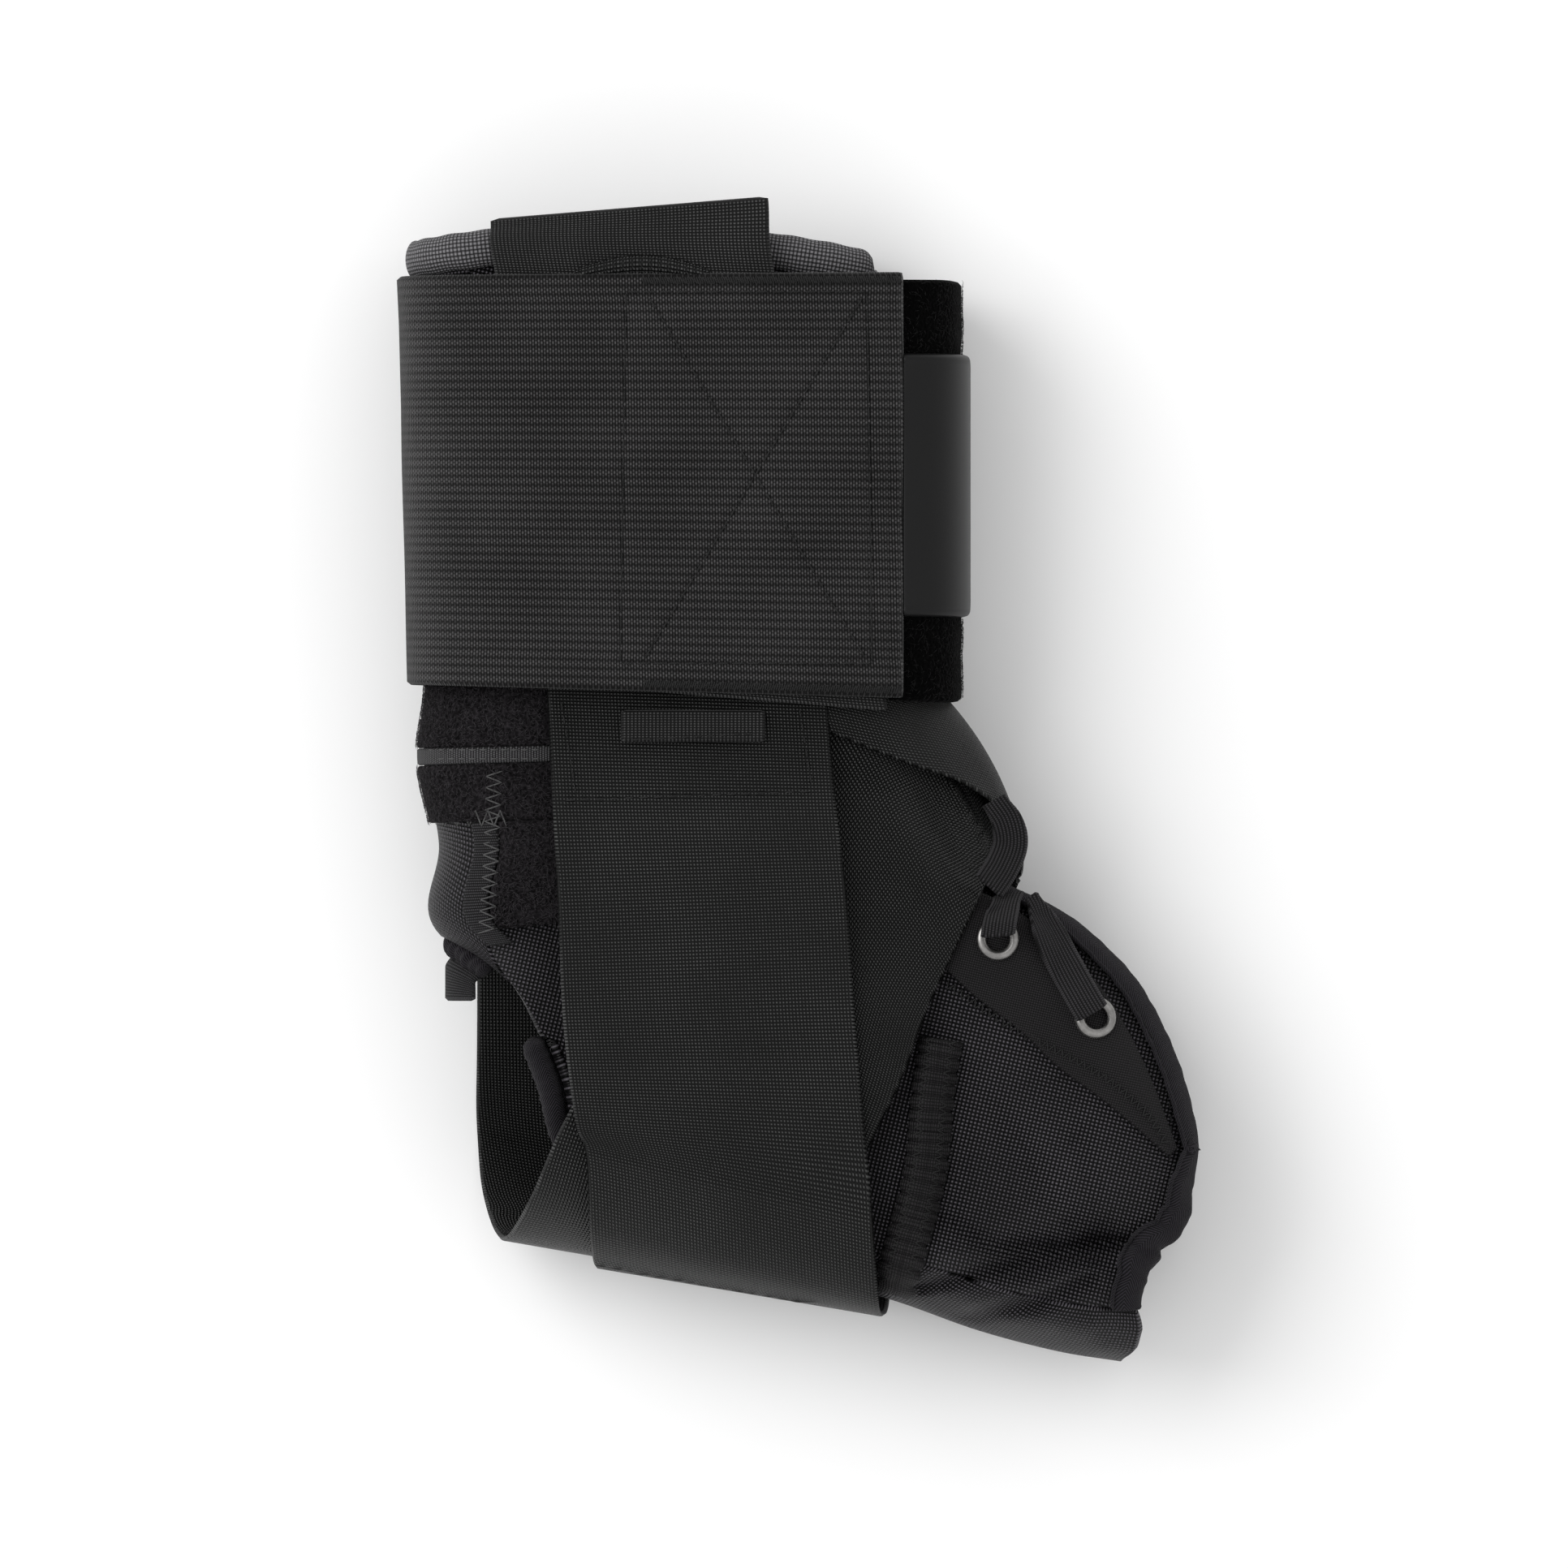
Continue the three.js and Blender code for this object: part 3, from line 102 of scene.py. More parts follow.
# Ribs of the bootie from the top rim down the leg and along the foot to the toe.
# Places are shares of WIDTH and HEIGHT, near, far and edge shares of the body's span,
# seam a share of SEAM_SHARE, lift opens the heel, bow a share of HEIGHT, facing a share of WIDTH.
RIB_COLUMNS = ["backX", "backY", "frontX", "frontY", "near", "far", "edge", "seam", "lift", "bow", "facing"]
RIBS = table(RIB_COLUMNS, [
    [-0.476, 0.448, 0.1, 0.437, 0.93, 0.1, 0.8, 1, 0, 0.02, 0.1],
    [-0.476, 0.352, 0.106, 0.352, 0.93, 0.1, 0.8, 1, 0, 0, 0.1],
    [-0.47, 0.226, 0.11, 0.226, 0.93, 0.1, 0.78, 1, 0, 0, 0.12],
    [-0.456, 0.094, 0.118, 0.101, 0.93, 0.09, 0.76, 1, 0, 0, 0.14],
    [-0.466, 0.021, 0.155, 0.031, 0.93, 0.05, 0.68, 1, 0, 0, 0.148],
    [-0.447, -0.053, 0.213, -0.04, 0.96, 0.01, 0.64, 1, 0, 0, 0.162],
    [-0.455, -0.122, 0.256, -0.085, 0.97, 0, 0.64, 1, 0, 0, 0.162],
    [-0.346, -0.184, 0.308, -0.102, 0.97, 0, 0.68, 0.2, 0.9, 0, 0.155],
    [-0.296, -0.249, 0.351, -0.118, 0.97, 0, 0.7, 0, 1, 0, 0.148],
    [-0.27, -0.314, 0.389, -0.14, 0.98, 0, 0.72, 0, 0.9, 0, 0.141],
    [-0.203, -0.362, 0.425, -0.166, 0.985, 0, 0.73, 0, 0.6, 0, 0.128],
    [-0.114, -0.4, 0.452, -0.197, 0.985, 0, 0.74, 0.3, 0.3, 0, 0.114],
    [-0.003, -0.424, 0.474, -0.231, 0.98, 0, 0.74, 1, 0, 0, 0.088],
    [0.113, -0.444, 0.487, -0.26, 0.98, 0, 0.74, 1, 0, 0, 0.067],
    [0.224, -0.471, 0.495, -0.287, 0.98, 0, 0.74, 1, 0, 0, 0.047],
    [0.325, -0.4895, 0.4963, -0.304, 0.97, 0, 0.74, 1, 0, 0, 0.034],
    [0.405, -0.4985, 0.492, -0.3145, 0.93, 0, 0.74, 1, 0, 0, 0.027],

])
LAST_RIB = len(RIBS["near"]) - 1
BACK_HEM_SEAM = 6.8        # ribs where the back panel's hem meets the seams
BACK_HEM_MIDDLE = 6.15     # and where it crosses the back fold
BACK_HEM_RIBS = 2.8        # ribs over which the hem's slant fades out
SOLE_PANEL_START = 12
FACING_START = 4.5
FACING_END = 14.2
BINDING_START = 4.5
HEEL_START = 7.5
HEEL_END = 10.9

# The toe edge swings out and in: place along the edge from the sole to the front, and
# how far it stands past the last rib as a share of WIDTH.
TOE_WAVE = table(["place", "out"], [
    [0, -0.003],
    [0.07, 0.007],
    [0.14, 0.006],
    [0.3, -0.013],
    [0.42, -0.014],
    [0.52, -0.01],
    [0.63, 0.01],
    [0.72, 0.014],
    [0.85, 0.006],
    [1, 0],

])
TOE_WAVE_RIBS = 2.5

# Creases and puffs of the near quarter: ends as shares of WIDTH and HEIGHT,
# reach as a share of WIDTH, rise (puff) or fall (crease) as a share of DEPTH.
FOLDS = table(["fromX", "fromY", "toX", "toY", "reach", "rise"], [
    [0.15, -0.428, 0.27, -0.419, 0.03, -0.075],
    [0.27, -0.419, 0.371, -0.397, 0.028, -0.06],
    [0.371, -0.397, 0.42, -0.395, 0.024, -0.05],
    [0.19, -0.25, 0.165, -0.4, 0.026, -0.05],
    [0.36, -0.45, 0.42, -0.44, 0.024, -0.04],
    [0.2, -0.39, 0.36, -0.365, 0.035, 0.012],
    [-0.45, -0.07, -0.4, -0.13, 0.02, -0.03],

])

# Sections of the two straps, from their start at the cuff's lower edge, over the front,
# down the other side, under the sole and up to the cuff again. Places are shares of WIDTH
# and HEIGHT, turn the angle of the section in degrees, span its length in webbing widths,
# right and left the heights of its two ends between lowest and highest layer, bow its bulge.
STRAP_COLUMNS = ["x", "y", "turn", "span", "right", "left", "bow"]
SIDE_STRAP = table(STRAP_COLUMNS, [
    [0.01, 0.066, -72, 0.145, 0.895, 0.895, 0],
    [0.058, 0.06, -73, 0.203, 0.895, 0.895, 0],
    [0.112, 0.051, -65, 0.299, 0.88, 0.88, 0],
    [0.161, 0.043, -57, 0.404, 0.82, 0.84, 0],
    [0.198, 0.032, -56, 0.517, 0.7, 0.76, 0.024],
    [0.218, 0.021, -59, 0.598, 0.6, 0.64, 0.041],
    [0.225, 0.007, -63, 0.681, 0.5, 0.5, 0.047],
    [0.22, -0.007, -65, 0.741, 0.38, 0.35, 0.041],
    [0.199, -0.019, -65, 0.816, 0.25, 0.19, 0.024],
    [0.159, -0.04, -65, 0.974, 0.12, 0.07, 0],
    [0.103, -0.075, -61, 1.158, 0.03, 0, 0],
    [0.04, -0.157, -48, 1.114, 0, 0, 0],
    [-0.023, -0.255, -28, 1.066, 0, 0, 0],
    [-0.057, -0.339, -13, 1.036, 0, 0, 0],
    [-0.064, -0.419, -12, 1.044, 0.12, 0.12, 0],
    [-0.073, -0.436, -9.6, 1.038, 0.5, 0.5, 0],
    [-0.079, -0.414, -13, 1.05, 0.854, 0.854, 0],
    [-0.085, -0.345, -13, 1.044, 1, 1, 0],
    [-0.096, -0.297, -3.3, 1.028, 1, 1, 0],
    [-0.11, -0.205, 1, 1.033, 1, 1, 0],
    [-0.118, -0.105, 1.6, 1.024, 1, 1, 0],
    [-0.129, -0.013, -0.5, 1.003, 1, 1, 0],
    [-0.136, 0.062, -1.7, 0.997, 0.91, 0.91, 0],
    [-0.141, 0.122, 0, 0.991, 0.905, 0.905, 0],
])
CROSS_STRAP = table(STRAP_COLUMNS, [
    [0.01, 0.059, -59, 0.086, 0, 0, 0],
    [0.058, 0.051, -78, 0.141, 0, 0, 0],
    [0.118, 0.04, -62.5, 0.255, 0.06, 0.02, 0],
    [0.159, 0.035, -53, 0.345, 0.2, 0.12, 0],
    [0.182, 0.027, -52, 0.434, 0.34, 0.3, 0.018],
    [0.197, 0.021, -55, 0.49, 0.43, 0.41, 0.026],
    [0.202, 0.013, -58.5, 0.545, 0.52, 0.52, 0.029],
    [0.199, 0.006, -61, 0.594, 0.62, 0.62, 0.024],
    [0.186, -0.004, -63, 0.675, 0.71, 0.74, 0],
    [0.154, -0.018, -62, 0.813, 0.81, 0.83, 0],
    [0.104, -0.043, -59.5, 0.997, 0.91, 0.9, 0],
    [0.027, -0.113, -50, 1.091, 0.985, 0.95, 0],
    [-0.055, -0.241, -26, 0.992, 1, 1, 0],
    [-0.116, -0.326, -15, 1.045, 1, 1, 0],
    [-0.148, -0.389, -13, 1.097, 0.854, 0.854, 0],
    [-0.178, -0.414, -9.8, 1.107, 0.5, 0.5, 0],
    [-0.202, -0.384, -11.5, 1.11, 0.17, 0.17, 0],
    [-0.218, -0.328, -11, 1.064, 0, 0, 0],
    [-0.222, -0.231, -1.6, 1.024, 0, 0, 0],
    [-0.223, -0.081, 0, 1.015, 0, 0, 0],
    [-0.224, 0.059, 0, 1.006, 0.02, 0.03, 0],
    [-0.225, 0.094, 0, 1, 0.03, 0.05, 0],
    [-0.226, 0.136, 0, 0.994, 0.03, 0.05, 0],
])

# Cuff: a flattened ring. Places are shares of WIDTH and HEIGHT.
CUFF = dict(left=-0.5, right=0.216, bottomLeft=0.087, bottomRight=0.074, topLeft=0.432, topRight=0.435)
CUFF_POWER = 3
CUFF_FLAT = 0.35           # flat share of the cuff's half width
ELASTIC_NEAR_END = 0.128
ELASTIC_FAR_END = 0.09
PILE_NEAR_START = 0.115
PILE_FAR_END = 0.1
PILE_TOP = 0.985           # upper and lower ends of the pile panel, as shares of the elastic's
PILE_BOTTOM = 0.96
LABEL = dict(left=0.131, right=0.2128, middleY=0.255)

LOOP_END = dict(left=-0.275, right=-0.111, rise=0.012, gap=0.004)
PATCH = dict(left=-0.216, right=-0.044, top=0.06, bottom=0.037)
PULL_TAB = dict(start=0.08, stop=0.7, bottom=-0.185, rise=1.5)

# Hook strap that runs under the cuff: places as shares of WIDTH and HEIGHT.
HOOK_STRAP = table(["leftX", "leftY", "rightX", "rightY", "drop"], [
    [-0.378, 0.481, -0.04, 0.5, 1.6],
    [-0.374, 0.443, -0.032, 0.436, 0.4],
    [-0.33, 0.3, 0.02, 0.3, 0],
    [-0.25, 0.13, 0.09, 0.12, 0],
    [-0.23, 0.083, 0.108, 0.064, 0],

])

# Laces: centre line as shares of WIDTH and HEIGHT, height as a share of DEPTH, turn of the
# flat section in degrees. They pass under the bands and end there.
LACE_COLUMNS = ["x", "y", "z", "turn"]
LACES = {
    "lace_instep": table(LACE_COLUMNS, [
        [0.243, -0.015, 0.76, 30],
        [0.259, -0.032, 0.75, 22],
        [0.264, -0.052, 0.76, -8],
        [0.254, -0.071, 0.81, -30],
        [0.238, -0.088, 0.87, -42],
    ]),
    "lace_upper": table(LACE_COLUMNS, [
        [0.257, -0.104, 0.85, 10],
        [0.254, -0.109, 0.88, 8],
        [0.25, -0.121, 0.955, 5],
        [0.248, -0.13, 0.975, 5],
    ]),
    "lace_lower": table(LACE_COLUMNS, [
        [0.291, -0.098, 0.79, 35],
        [0.302, -0.115, 0.8, 33],
        [0.325, -0.148, 0.88, 31],
        [0.352, -0.182, 0.96, 30],
        [0.364, -0.196, 0.975, 30],
    ]),
}

EYELETS = table(["x", "y"], [
    [0.248, -0.134],
    [0.369, -0.201],
])

# Gathered channel across the foot: centre line as shares of WIDTH and HEIGHT.
CHANNEL = table(["x", "y"], [
    [0.178, -0.22],
    [0.168, -0.265],
    [0.161, -0.32],
    [0.152, -0.353],
    [0.138, -0.388],
    [0.125, -0.42],
    [0.118, -0.436],
])

SHIFT = np.array([0.032, -0.257, 0.0])  # centring of the solids, added to every point
PX = 0.15                               # millimetres a pixel of the photo
PX_MIDDLE = (983, 964.5)
PHOTO_PIXELS = 1932
CELL = 0.5                              # cell of the height maps
MAP_LOW = (-90.0, -120.0)
MAP_SIZE = (360, 480)
EMPTY = -1e3                            # height of a cell with nothing in it
MIDDLE = DEPTH / 2
WEAVE_TURN = -14                        # slant of the mesh over the sides of the bootie, in degrees


# Small helpers
def mix(a, b, s):
    return a + (b - a) * s


def ease(s):
    c = np.clip(s, 0, 1)
    return c * c * (3 - 2 * c)


def photo(points):
    """Millimetres in plan for places in the photo's pixels"""
    places = np.array(points, float)
    return np.stack([(places[..., 0] - PX_MIDDLE[0]) * PX, (PX_MIDDLE[1] - places[..., 1]) * PX], -1)


def joined(*parts):
    """Coordinates of one grid, brought to one shape"""
    return np.stack(np.broadcast_arrays(*parts), -1)


def plan_of(row, x="x", y="y"):
    """Millimetres in plan from the shares in a table's columns"""
    return joined(row[x] * WIDTH, row[y] * HEIGHT)


def lengths_along(path):
    """How far each point of a path is from its start"""
    return np.concatenate([[0], np.cumsum(np.linalg.norm(np.diff(path, axis=0), axis=1))])


def unit(vectors):
    return vectors / np.maximum(np.linalg.norm(vectors, axis=-1, keepdims=True), 1e-9)


def row_at(rows, place):
    """A smooth value between the rows of a table, for every column at once"""
    last = len(next(iter(rows.values()))) - 1
    place = np.clip(np.asarray(place, float), 0, last)
    index = np.minimum(place.astype(int), last - 1)
    s = place - index
    result = {}
    for key, values in rows.items():
        padded = np.concatenate([[2 * values[0] - values[1]], values, [2 * values[-1] - values[-2]]])
        a, b, c, d = (padded[index + k] for k in range(4))
        bend = (2 * a - 5 * b + 4 * c - d) * s**2
        twist = (3 * b - a - 3 * c + d) * s**3
        result[key] = b + 0.5 * ((c - a) * s + bend + twist)
    return result


def rows_along(rows, count):
    """Smooth values at evenly spaced places down a table"""
    return row_at(rows, np.linspace(0, len(next(iter(rows.values()))) - 1, count))


def upright_rows(rows, count):
    """The same, as columns that a row of places across can be mixed with"""
    return {key: values[:, None] for key, values in rows_along(rows, count).items()}


def value_at(keys, values, at):
    """Eased value between the rows of a table"""
    index = np.clip(np.searchsorted(keys, at) - 1, 0, len(keys) - 2)
    s = ease((at - keys[index]) / (keys[index + 1] - keys[index]))
    return mix(values[index], values[index + 1], s)


def points_at(line, lengths, where):
    return np.stack([np.interp(where, lengths, line[:, k]) for k in range(line.shape[1])], -1)


def spline(points, count):
    """Evenly spaced points on a smooth line through a few points"""
    points = np.asarray(points, float)
    rows = dict(enumerate(points.T))
    dense = np.stack(list(rows_along(rows, 40 * len(points)).values()), -1)
    lengths = lengths_along(dense)
    return points_at(dense, lengths, np.linspace(0, lengths[-1], count))


def wave(s, pitch, phase=0.0):
    return np.sin(2 * math.pi * s / pitch + phase)


def smoothed(line, passes):
    """A line with its corners eased and its ends kept"""
    for _ in range(passes):
        line[1:-1] = (line[:-2] + 2 * line[1:-1] + line[2:]) / 4
    return line


def ripple(x, y, rise, size, seed):
    """Gentle unevenness of cloth"""
    total = np.zeros_like(x)
    state = np.random.default_rng(seed)
    for _ in range(5):
        angle = state.uniform(0, 2 * math.pi)
        scale = size * state.uniform(0.7, 1.6)
        phase = state.uniform(0, 2 * math.pi)
        total += np.sin((x * math.cos(angle) + y * math.sin(angle)) / scale * 2 * math.pi + phase)
    return rise * (total / 5)


# The bootie's outer surface, as in the solids
def body_point(rib, around):
    rib, around = np.broadcast_arrays(np.asarray(rib, float), np.asarray(around, float))
    row = row_at(RIBS, rib)
    side = np.where(around < 0, -1.0, 1.0)
    share = np.abs(around)
    back, front = plan_of(row, "backX", "backY"), plan_of(row, "frontX", "frontY")
    length = np.linalg.norm(front - back, axis=-1)
    along = (front - back) / length[..., None]
    across = np.stack([-along[..., 1], along[..., 0]], -1)
    angle = np.clip(share / FOLD_SHARE, 0, 1) * math.pi / 2
    power = 2 / FOLD_POWER
    folded = FOLD_ROUND * (1 - np.clip(np.cos(angle), 0, 1) ** power)
    straight = mix(FOLD_ROUND, length, (share - FOLD_SHARE) / (1 - FOLD_SHARE))
    reach = np.where(share <= FOLD_SHARE, folded, straight)
    rounding = np.where(share <= FOLD_SHARE, np.sin(angle) ** power, 1.0)
    rounding = mix(rounding, 1, np.clip(row["lift"], 0, 1))
    bow = row["bow"] * HEIGHT * 4 * (reach / length) * (1 - reach / length)
    toeward = np.clip((rib - (LAST_RIB - TOE_WAVE_RIBS)) / TOE_WAVE_RIBS, 0, 1)
    swing = value_at(TOE_WAVE["place"], TOE_WAVE["out"], reach / length) * WIDTH * toeward**2
    place = back + along * reach[..., None] + across * (bow - swing)[..., None]
    droop = (row["near"] - row["edge"]) * np.clip(1 - (length - reach) / FRONT_ROUND, 0, None) ** 2
    height = (row["near"] + row["far"]) / 2 + side * ((row["near"] - row["far"]) / 2 * rounding - droop)
    return np.concatenate([place, (BODY_LOW + height * BODY_SPAN)[..., None]], -1)


def fold_rise(x, y):
    rise = np.zeros_like(x)
    for k in range(len(FOLDS["reach"])):
        from_x, from_y = FOLDS["fromX"][k] * WIDTH, FOLDS["fromY"][k] * HEIGHT
        line_x, line_y = FOLDS["toX"][k] * WIDTH - from_x, FOLDS["toY"][k] * HEIGHT - from_y
        s = np.clip(((x - from_x) * line_x + (y - from_y) * line_y) / (line_x**2 + line_y**2), 0, 1)
        gap = np.hypot(x - from_x - s * line_x, y - from_y - s * line_y) / (FOLDS["reach"][k] * WIDTH)
        rise += FOLDS["rise"][k] * DEPTH * np.exp(-gap * gap)
    return rise


def folded_point(rib, around):
    point = body_point(rib, around)
    rib, around = np.broadcast_arrays(rib, around)
    fade = ease((np.abs(around) - SEAM_SHARE) / (FOLD_SHARE - SEAM_SHARE + 0.1)) * (around > 0)
    point[..., 2] += fold_rise(point[..., 0], point[..., 1]) * fade
    return point


def body_normal(rib, around):
    rib, around = np.broadcast_arrays(np.asarray(rib, float), np.asarray(around, float))
    low, high = np.clip(around - 0.01, -1, 1), np.clip(around + 0.01, -1, 1)
    before, after = np.clip(rib - 0.1, 0, LAST_RIB), np.clip(rib + 0.1, 0, LAST_RIB)
    sideways = folded_point(rib, high) - folded_point(rib, low)
    lengthways = folded_point(after, around) - folded_point(before, around)
    return unit(np.cross(lengthways, sideways))


def chord_length(rib):
    row = row_at(RIBS, rib)
    return np.hypot((row["frontX"] - row["backX"]) * WIDTH, (row["frontY"] - row["backY"]) * HEIGHT)


def edge_inset(rib):
    return (BINDING + CLEAR) * ease((rib - BINDING_START + 1) * 2) / (1 - FOLD_SHARE)


def seam_share(rib, least):
    return SEAM_SHARE * np.clip(row_at(RIBS, rib)["seam"], least, 1)


def quarter_places(side, ribs, wide, narrow):
    seam = seam_share(ribs, OPEN_SEAM)
    length = chord_length(ribs)
    end = 1 - edge_inset(ribs) / length
    droop = 1 - FRONT_ROUND / length
    shares = np.concatenate([
        mix(seam[:, None], droop[:, None], np.linspace(0, 1, wide + 1)),
        mix(droop[:, None], end[:, None], np.linspace(0, 1, narrow + 1)[1:]),
    ], 1)
    return np.broadcast_to(ribs[:, None], shares.shape), side * shares


def fold_places(ribs, across, slant):
    share = np.linspace(-1, 1, across + 1)[None, :]
    rib = ribs[:, None] - slant(ribs[:, None], share)
    return rib, share * (seam_share(rib, CLOSING_SEAM) - SEAM_GAP)


def hem_slant(rib, share):
    fade = ease(1 - (BACK_HEM_SEAM - rib) / BACK_HEM_RIBS)
    return (BACK_HEM_SEAM - BACK_HEM_MIDDLE) * (1 - share**2) * fade


def facing_places(side, along, across):
    rib = np.linspace(FACING_START, FACING_END, along + 1)
    length = chord_length(rib)
    end = 1 - (edge_inset(rib) + BINDING_WIDTH + 2 * CLEAR) / length
    start = end - np.maximum(row_at(RIBS, rib)["facing"] * WIDTH - BINDING_WIDTH, 1) / length
    shares = mix(start[:, None], end[:, None], np.linspace(0, 1, across + 1))
    return np.broadcast_to(rib[:, None], shares.shape), side * shares


# Heights of the layers laid so far, seen from above (side 1) or from below (side -1)
class Relief:
    def __init__(self, side):
        self.side = side
        self.heights = np.full(MAP_SIZE, EMPTY)

    def cells(self, x, y):
        i = np.clip((x - MAP_LOW[0]) / CELL, 0, MAP_SIZE[0] - 2)
        j = np.clip((y - MAP_LOW[1]) / CELL, 0, MAP_SIZE[1] - 2)
        return i, j

    def stamp(self, grid, lift=0.0):
        fine = grid
        for axis in (0, 1):
            steps = np.linalg.norm(np.diff(fine, axis=axis), axis=-1).max()
            count = int(max(1, math.ceil(steps / (0.7 * CELL))))
            size = fine.shape[axis]
            at = np.linspace(0, size - 1, (size - 1) * count + 1)
            low = np.minimum(at.astype(int), size - 2)
            s = (at - low).reshape([-1, 1, 1] if axis == 0 else [1, -1, 1])
            fine = np.take(fine, low, axis) * (1 - s) + np.take(fine, low + 1, axis) * s
        points = fine.reshape(-1, 3)
        points = points[(points[:, 2] - MIDDLE) * self.side > 0]
        i, j = self.cells(points[:, 0], points[:, 1])
        nearest = (np.round(i).astype(int), np.round(j).astype(int))
        np.maximum.at(self.heights, nearest, self.side * points[:, 2] + lift)
        return self

    def copy(self):
        other = Relief(self.side)
        other.heights = self.heights.copy()
        return other

    def softened(self, spread, passes):
        """The same layers under a cloth that bridges their steps"""
        other = self.copy()
        for _ in range(spread):
            other.heights = neighbours(other.heights, np.maximum)
        for _ in range(passes):
            covered = other.heights > EMPTY / 10
            total = neighbours(np.where(covered, other.heights, 0), np.add)
            count = neighbours(covered.astype(float), np.add)
            other.heights = np.where(covered, total / np.maximum(count, 1), other.heights)
        return other

    def at(self, x, y):
        i, j = self.cells(x, y)
        a, b = i.astype(int), j.astype(int)
        s, t = i - a, j - b
        corners = [self.heights[a + k, b + m] for m in (0, 1) for k in (0, 1)]
        level = np.maximum.reduce(corners)
        corners = [np.where(corner < EMPTY / 10, level, corner) for corner in corners]
        return mix(mix(corners[0], corners[1], s), mix(corners[2], corners[3], s), t)


def neighbours(values, combine):
    padded = np.pad(values, 1, mode="edge")
    result = values
    for i in (0, 1, 2):
        for j in (0, 1, 2):
            if (i, j) != (1, 1):
                result = combine(result, padded[i:i + values.shape[0], j:j + values.shape[1]])
    return result


def smooth_rows(values, passes):
    for _ in range(passes):
        padded = np.pad(values, 1, mode="edge")
        beside = padded[:-2, 1:-1], padded[2:, 1:-1], padded[1:-1, :-2], padded[1:-1, 2:]
        values = sum(beside, padded[1:-1, 1:-1] * 2) / 6
    return values


def rest_on(grid, reliefs, gap):
    """Moves a sheet outwards, near and far, until it clears the layers under it by a gap"""
    for relief in reliefs:
        side = relief.side
        out = (grid[..., 2] - MIDDLE) * side
        need = relief.at(grid[..., 0], grid[..., 1]) + gap - side * grid[..., 2]
        push = np.clip(np.where(out > DEPTH * RESTING_SHARE, need, 0), 0, MOST_PUSH)
        least = push
        for _ in range(8):
            push = np.maximum(least, smooth_rows(push, 2))
        grid[..., 2] += side * push * ease(out / (DEPTH * RESTING_SHARE) - 0.2)
    return grid


def groove(x, y, lines, width):
    """1 on any of the lines, fading out at their sides"""
    cut = np.zeros_like(x)
    for (ax, ay), (bx, by) in lines:
        dx, dy = bx - ax, by - ay
        s = np.clip(((x - ax) * dx + (y - ay) * dy) / (dx * dx + dy * dy), 0, 1)
        gap = np.hypot(x - ax - s * dx, y - ay - s * dy) / width
        cut = np.maximum(cut, np.exp(-gap * gap))
    return cut


# Meshes
def grid_normals(grid):
    return unit(np.cross(np.gradient(grid, axis=0), np.gradient(grid, axis=1)))


def grid_uv(grid):
    """Lengths in millimetres across and along a grid"""
    across, along = (np.cumsum(np.linalg.norm(np.diff(grid, axis=k), axis=-1), k) for k in (1, 0))
    u = np.pad(across, ((0, 0), (1, 0)))
    v = np.pad(along, ((1, 0), (0, 0)))[:, grid.shape[1] // 2]
    return joined(u - u[:, -1:] / 2, v[:, None])


def mesh_piece(name, points, faces, uvs, finish, nodes):
    """A piece of the visual model, from points in millimetres and faces as lists of their numbers"""
    mesh = bpy.data.meshes.new(name)
    mesh.from_pydata(((np.asarray(points) + SHIFT) / 1000).tolist(), [], [list(face) for face in faces])
    corners = np.empty(len(mesh.loops), np.int32)
    mesh.loops.foreach_get("vertex_index", corners)
    layer = mesh.uv_layers.new(name="UVMap")
    layer.data.foreach_set("uv", np.asarray(uvs, np.float32)[corners].ravel())
    mesh.polygons.foreach_set("use_smooth", [True] * len(mesh.polygons))
    mesh.materials.append(finish)
    mesh.validate()
    mesh.update()
    piece = bpy.data.objects.new(name, mesh)
    bpy.context.scene.collection.objects.link(piece)
    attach(piece, "root")
    if nodes:
        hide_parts(*nodes)


def quads(*corners):
    """Four-sided faces from the numbers of their corners"""
    return np.stack([corner.ravel() for corner in corners], -1)


def cloth(name, grid, low, high, finish, nodes, normals=None, uv=None, rim=0.35):
    """A sheet with a rounded rim between two offsets of a grid"""
    rows, columns = grid.shape[:2]
    normals = grid_normals(grid) if normals is None else normals
    uv = grid_uv(grid) if uv is None else uv
    top, bottom = grid + normals * high, grid + normals * low
    at = np.arange(rows * columns).reshape(rows, columns)
    loop = [(0, j) for j in range(columns - 1)] + [(i, columns - 1) for i in range(rows - 1)]
    loop += [(rows - 1, j) for j in range(columns - 1, 0, -1)] + [(i, 0) for i in range(rows - 1, 0, -1)]
    loop = tuple(np.array(loop).T)
    inner = (np.clip(loop[0], 1, rows - 2), np.clip(loop[1], 1, columns - 2))
    edge = (top[loop] + bottom[loop]) / 2
    outward = unit(edge - (top[inner] + bottom[inner]) / 2)
    ring = edge + outward * (high - low) * rim
    a, b, c, d = at[:-1, :-1], at[:-1, 1:], at[1:, 1:], at[1:, :-1]
    under = rows * columns
    border = at[loop]
    following = np.roll(border, -1)
    mid = 2 * under + np.arange(len(border))
    mid_next = np.roll(mid, -1)
    points = np.concatenate([top.reshape(-1, 3), bottom.reshape(-1, 3), ring])
    uvs = np.concatenate([uv.reshape(-1, 2), uv.reshape(-1, 2), uv[loop]])
    faces = np.concatenate([quads(a, d, c, b), quads(a, b, c, d) + under,
                            quads(border, following, mid_next, mid),
                            quads(mid, mid_next, following + under, border + under)])
    mesh_piece(name, points, faces, uvs, finish, nodes)


def frames_along(path, up):
    tangent = unit(np.gradient(path, axis=0))
    across = unit(np.cross(tangent, np.broadcast_to(up, path.shape)))
    return across, unit(np.cross(across, tangent))


